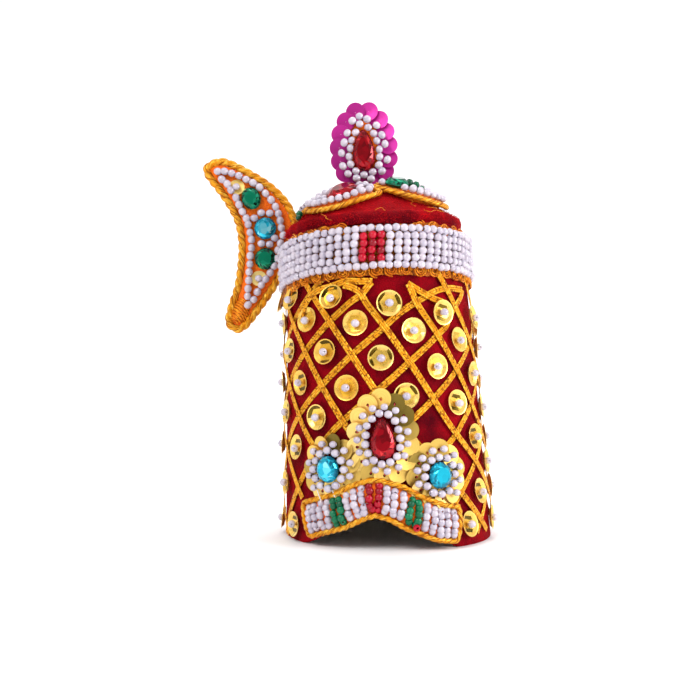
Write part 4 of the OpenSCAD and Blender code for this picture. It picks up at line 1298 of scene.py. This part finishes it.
# Pearls as the photograph shows them: an outer and an inner string, and those between stones
OUTER_STRING = (
    (-40.8, 96.0), (-39.0, 95.9), (-37.1, 95.3), (-35.2, 94.5), (-33.3, 93.4), (-31.5, 92.4),
    (-29.8, 91.1), (-28.3, 89.4), (-26.9, 87.6), (-25.8, 85.7), (-25.1, 83.8), (-24.7, 81.9),
    (-24.5, 80.0), (-24.1, 78.0), (-24.9, 75.9), (-25.7, 74.1), (-26.0, 71.9), (-26.9, 70.0),
    (-28.0, 68.2), (-29.3, 66.6), (-30.5, 65.1), (-31.6, 63.3), (-32.7, 61.3), (-34.3, 60.0))
INNER_STRING = (
    (-39.8, 93.8), (-38.4, 92.5), (-37.5, 90.8), (-36.2, 88.7), (-35.5, 86.8), (-34.7, 84.9),
    (-33.7, 83.0), (-33.3, 81.4), (-32.9, 79.2), (-32.6, 77.3), (-32.7, 75.1), (-33.1, 73.0),
    (-33.3, 70.8), (-33.6, 68.7), (-33.8, 66.5), (-34.1, 64.3), (-34.3, 62.3))
SINGLE_PEARLS = (
    (-31.6, 83.0), (-29.7, 84.3), (-27.4, 84.1), (-30.0, 76.1), (-27.8, 75.8), (-26.4, 77.4))
places = []
for line in (OUTER_STRING, INNER_STRING):
    (before_x, before_z), (x, z) = line[-2:]
    beyond = (2 * x - before_x, 2 * z - before_z)
    for (x, z), (next_x, next_z) in zip(line, line[1:] + (beyond,)):
        places.append(shaken(Vector((x, CRESCENT_Y - 0.95, z)), (next_x - x, 0, next_z - z),
                             1.06, 1.14, (0, -1, 0)))
for x, z in SINGLE_PEARLS:
    places.append(facing(Vector((x, CRESCENT_Y - 0.9, z)), (1, 0, 0), up=(0, -1, 0), size=1.08))
SEQUINS = ((-36.0, 91.6, 15), (-31.1, 66.9, 40))
for x, z, turn in SEQUINS:
    places.append(facing(Vector((x, CRESCENT_Y - 1.2, z)), (1, 0, 0), up=(0, -1, 0)))
set_beads(places, "crescent_pearl_strings", "pearl", "crescent_pearls")

for name, x, z, w, h, turn, slot in (
    ("top", -32.2, 88.3, 5, 6, 20, "green_stone"),
    ("middle", -28.8, 80.1, 5.8, 5.8, 0, "aqua_stone"),
    ("low", -29.1, 72.0, 5.7, 5.7, 0, "green_stone"),
):
    set_stone(cut_stone("oval", w + 0.1, h + 0.1, 2.3, 0.8),
              facing(Vector((x, CRESCENT_Y - 0.1, z)), (0, -1, 0), turn=turn),
              "crescent_cut_stone_" + name, slot, "crescent_stone_" + name)
places = [facing(Vector((x, CRESCENT_Y - 0.3, z)), (0.08, -1, 0.16), turn=turn)
          for x, z, turn in SEQUINS]
set_on_crown(copies(flat_sequin(2.1), places, [0.62, 0.7]), "crescent_gold_sequins",
             brushed_foil, ["crescent_sequins"], smooth=30)


# Leaves: four padded leaves of orange felt, bent over the cap, each edged with twisted gold
# cord, with a cut stone, pearls in rows round it and green beads at the tip.
# Turn, distance from the axis, twist, slope, lift, the stone's size and its place along the
# leaf, the green beads' place, the stone's paint
LEAVES = {
    "front": (-31, 13.9, 14.5, 34, 1.9, 7.6, 1.2, -12, "red_stone"),
    "right": (51.6, 12.2, -31, 26, 2.2, 6.2, -4.6, 0, "green_stone"),
    "back": (158, 14.4, 0, 33, 1.9, 7.4, 0, -12, "red_stone"),
    "left": (248, 13.8, 4, 31, 1.9, 6.2, 0, -12, "green_stone"),
}
LEAF_L, LEAF_W, LEAF_BEND, LEAF_LOW = 20.2, 10, 22.0, 1.22


def leaf_half_width(along, length, width):
    """Half of the width at a place along a leaf between two arcs that meet at its tips"""
    r = (length ** 2 + width ** 2) / (4 * width)
    return max(0.0, sqrt(max(0.0, r * r - along * along)) - r + width / 2)


def leaf_edge(length, width, steps):
    """Points of a leaf's outline as (along, across), once round"""
    alongs = [length / 2 * sin(pi / 2 * (2 * k / steps - 1)) for k in range(steps + 1)]
    top = [(x, leaf_half_width(x, length, width)) for x in alongs]
    return top + [(x, -y) for x, y in reversed(top[1:-1])]


def on_leaf(along, across, off):
    """Spot on the bent leaf, in the leaf's own frame"""
    turn, r = along / LEAF_BEND, LEAF_BEND + off
    return Vector((r * sin(turn), across, r * cos(turn) - LEAF_BEND))


def leaf_out(along):
    return Vector((sin(along / LEAF_BEND), 0, cos(along / LEAF_BEND)))


def fuller(across):
    """The lower half of a leaf is the wider one"""
    return across * (LEAF_LOW if across < 0 else 1)


def laid_on_cap(at_leaf, along, across, off):
    """Spot on a leaf that has been pressed down on the cap"""
    spot = at_leaf @ on_leaf(along, fuller(across), 0)
    r = hypot(spot.x, spot.y)
    spare = spot.z - cap_z(r) - 1 + 0.22 * max(0.0, r - 18)
    return spot - Vector((0, 0, 0.9 * max(0.0, spare))) + off * (at_leaf.to_3x3() @ leaf_out(along))


tips = []
for name, (turn, r, twist, slope, lift, stone_d, stone_at, bead_at, slot) in LEAVES.items():
    at_leaf = (Matrix.Rotation(radians(turn), 4, "Z") @ Matrix.Translation((0, -r, cap_z(r)))
               @ Matrix.Rotation(radians(slope), 4, "X") @ Matrix.Translation((0, 0, lift))
               @ Matrix.Rotation(radians(twist), 4, "Z"))
    turned = at_leaf.to_3x3()

    def leaf_pad_shape(spot):
        along, v = spot.x * (LEAF_L - 2.4), spot.y * 2
        crown = max(0.0, 1 - v * v) ** 0.5 * (1 - abs(2 * spot.x) ** 5)
        half = leaf_half_width(along, LEAF_L - 2.4, LEAF_W - 1.2)
        return laid_on_cap(at_leaf, along, v * half, 0.1 + 0.75 * crown)

    leaf = rolled_strip(48, 16, leaf_pad_shape)
    modified(leaf, "SOLIDIFY", thickness=1.4, offset=-1)
    set_on_crown(leaf, "leaf_felt_" + name, felt, ["leaf_pad_" + name], smooth=60)

    loop = leaf_edge(LEAF_L, LEAF_W, 40)
    cord = twisted_cord(
        Route([laid_on_cap(at_leaf, x, y, 0.35) for x, y in loop],
              [turned @ leaf_out(x) for x, y in loop], True), 0.68, 1.5)
    set_on_crown(cord, "leaf_gold_cord_" + name, cord_gold, ["leaf_cord_" + name],
                 smooth=70)
    place = facing(laid_on_cap(at_leaf, stone_at, 0, 0.6), turned @ leaf_out(stone_at),
                   up=turned @ Vector((0, 1, 0)))
    set_stone(cut_stone("oval", stone_d, stone_d, 2.1, 0.45), place,
              "leaf_cut_stone_" + name, slot, "leaf_stone_" + name)

    # A string of pearls inside the cord, and more in rows towards the tips
    spots = []
    for length, width in ((LEAF_L - 4.0, LEAF_W - 2.5), (LEAF_L - 8.0, LEAF_W - 6.0)):
        ring = leaf_edge(length, width, 40)
        route = Route([Vector((x, y, 0)) for x, y in ring], [Vector((0, 0, 1))] * len(ring), True)
        count = int(route.length / 1.72)
        spots += [route.frame(k / count)[0] for k in range(count)]
    places = []
    for spot in spots:
        if (hypot(spot.x - stone_at, fuller(spot.y)) > stone_d / 2 + 0.35
                and hypot(spot.x - bead_at, spot.y) > 1.8):
            place = laid_on_cap(at_leaf, spot.x, spot.y, 1.55 + shake.uniform(-0.1, 0.15))
            places.append(shaken(place, turned @ Vector((1, 0, 0)), 0.9, 0.99,
                                 turned @ leaf_out(spot.x)))
    set_beads(places, "leaf_pearls_" + name, "pearl", "leaf_pad_" + name)
    off = 0.85 if abs(bead_at) > LEAF_L / 2 else 2.0
    green_spots = [(bead_at, 0, off, 1.0)]
    if bead_at == 0:
        green_spots += [(bead_at + 1.3, -0.5, off - 0.3, 0.8), (bead_at - 1.6, 0.2, off, 1.1)]
    else:
        green_spots.append((bead_at - 0.2, -1.2, off - 0.3, 0.8))
    for along, across, off, size in green_spots:
        tips.append(facing(laid_on_cap(at_leaf, along, across, off), turned @ leaf_out(bead_at),
                           up=turned @ Vector((0, 1, 0)), size=size))
set_beads(tips, "leaf_green_beads", "green_bead", "leaf_tip_beads", 1.75, 1.6, 0.5)


# Upright flower: one round of magenta satin sequins that overlap, two rings of pearls and a
# long red drop stone, sewn to a stiff backing whose foot rests on the cap.
FLOWER_X, FLOWER_Y, FLOWER_Z, FLOWER_STONE_Z = -1.5, -3.5, 96.7, 96.2
FLOWER_FOOT_Z, LOW_PETAL_Z = 88.6, 91.5

satin = brushed_finish(
    "magenta_satin", (0.28, 0.005, 0.15), (0.52, 0.012, 0.26), (0.60, 0.025, 0.33), 0.36, 0.5)
places, shades = [], []
for spot in oval_spots(12.4, 20.0, 15, 0.25):
    radial = spot.normalized()
    side_way = Vector((-radial.y, 0, radial.x))
    out = Vector((0, -1, 0)) + 0.16 * side_way + Vector((0, 0, shake.uniform(-0.05, 0.05)))
    # The lowest petals are pushed up by the cap that the flower stands on
    low = FLOWER_Z + spot.y
    place = Vector((FLOWER_X + spot.x, FLOWER_Y - 0.1, max(low, 0.5 * low + 0.5 * LOW_PETAL_Z)))
    places.append(shaken(place, out, 0.98, 1.03))
    # Painted light: petals are painted paler towards the viewer's right, each a little lighter or
    # darker at random
    shades.append(max(0.0, min(1.0, 0.5 + 0.3 * radial.x + shake.uniform(-0.3, 0.3))))
petals = copies(flat_sequin(PETAL_R, 0.03), places, shades)
set_on_crown(petals, "flower_magenta_petals", satin, ["finial_petals"], smooth=30)

outline = [Vector((FLOWER_X + spot.x, 0, max(FLOWER_Z + spot.y, FLOWER_FOOT_Z)))
           for spot in oval_spots(11.8, 18.6, 48)]
set_on_crown(flat_board(outline, FLOWER_Y + 0.1, 0.5, 0.15), "flower_backing", felt,
             ["finial_petals"], smooth=50)

# Inner and outer ring of pearls, as the photograph shows them: (across, up) from the middle
INNER_RING = (
    (-0.7, 6.2), (1.4, 5.2), (-1.8, 4.1), (2.7, 3.6), (-2.9, 2.2), (3.4, 1.7), (-3.3, 0.2),
    (3.9, -0.5), (-3.7, -1.9), (3.9, -2.4), (-3.4, -3.8), (3.6, -4.4), (-2.2, -5.6), (2.0, -6.1),
    (-0.2, -6.7))
OUTER_RING = (
    (-0.7, 8.1), (1.2, 7.3), (-2.5, 7.1), (3.5, 5.6), (-3.9, 4.1), (4.7, 3.1), (-4.8, 1.7),
    (5.4, 0.8), (-5.6, -0.9), (5.8, -3.2), (-5.4, -4.2), (4.3, -6.0), (-4.2, -6.2), (-2.1, -7.4),
    (1.5, -7.8))
places = []
for ring, off in ((INNER_RING, 0.75), (OUTER_RING, 0.8)):
    for x, up in ring:
        place = Vector((FLOWER_X + x, FLOWER_Y - off - PEARL / 2, FLOWER_Z + up))
        places.append(shaken(place, (-up, 0, x), 0.98, 1.06, (0, -1, 0)))
set_beads(places, "flower_pearl_rings", "pearl", "finial_pearls", PEARL, 1.76, 0.5)
set_stone(cut_stone("drop", 5.6, 10.4, 2.5, 0.5),
          facing(Vector((FLOWER_X, FLOWER_Y - 0.7, FLOWER_STONE_Z)), (0, -1, 0)),
          "flower_drop_stone", "red_stone", "finial_stone")
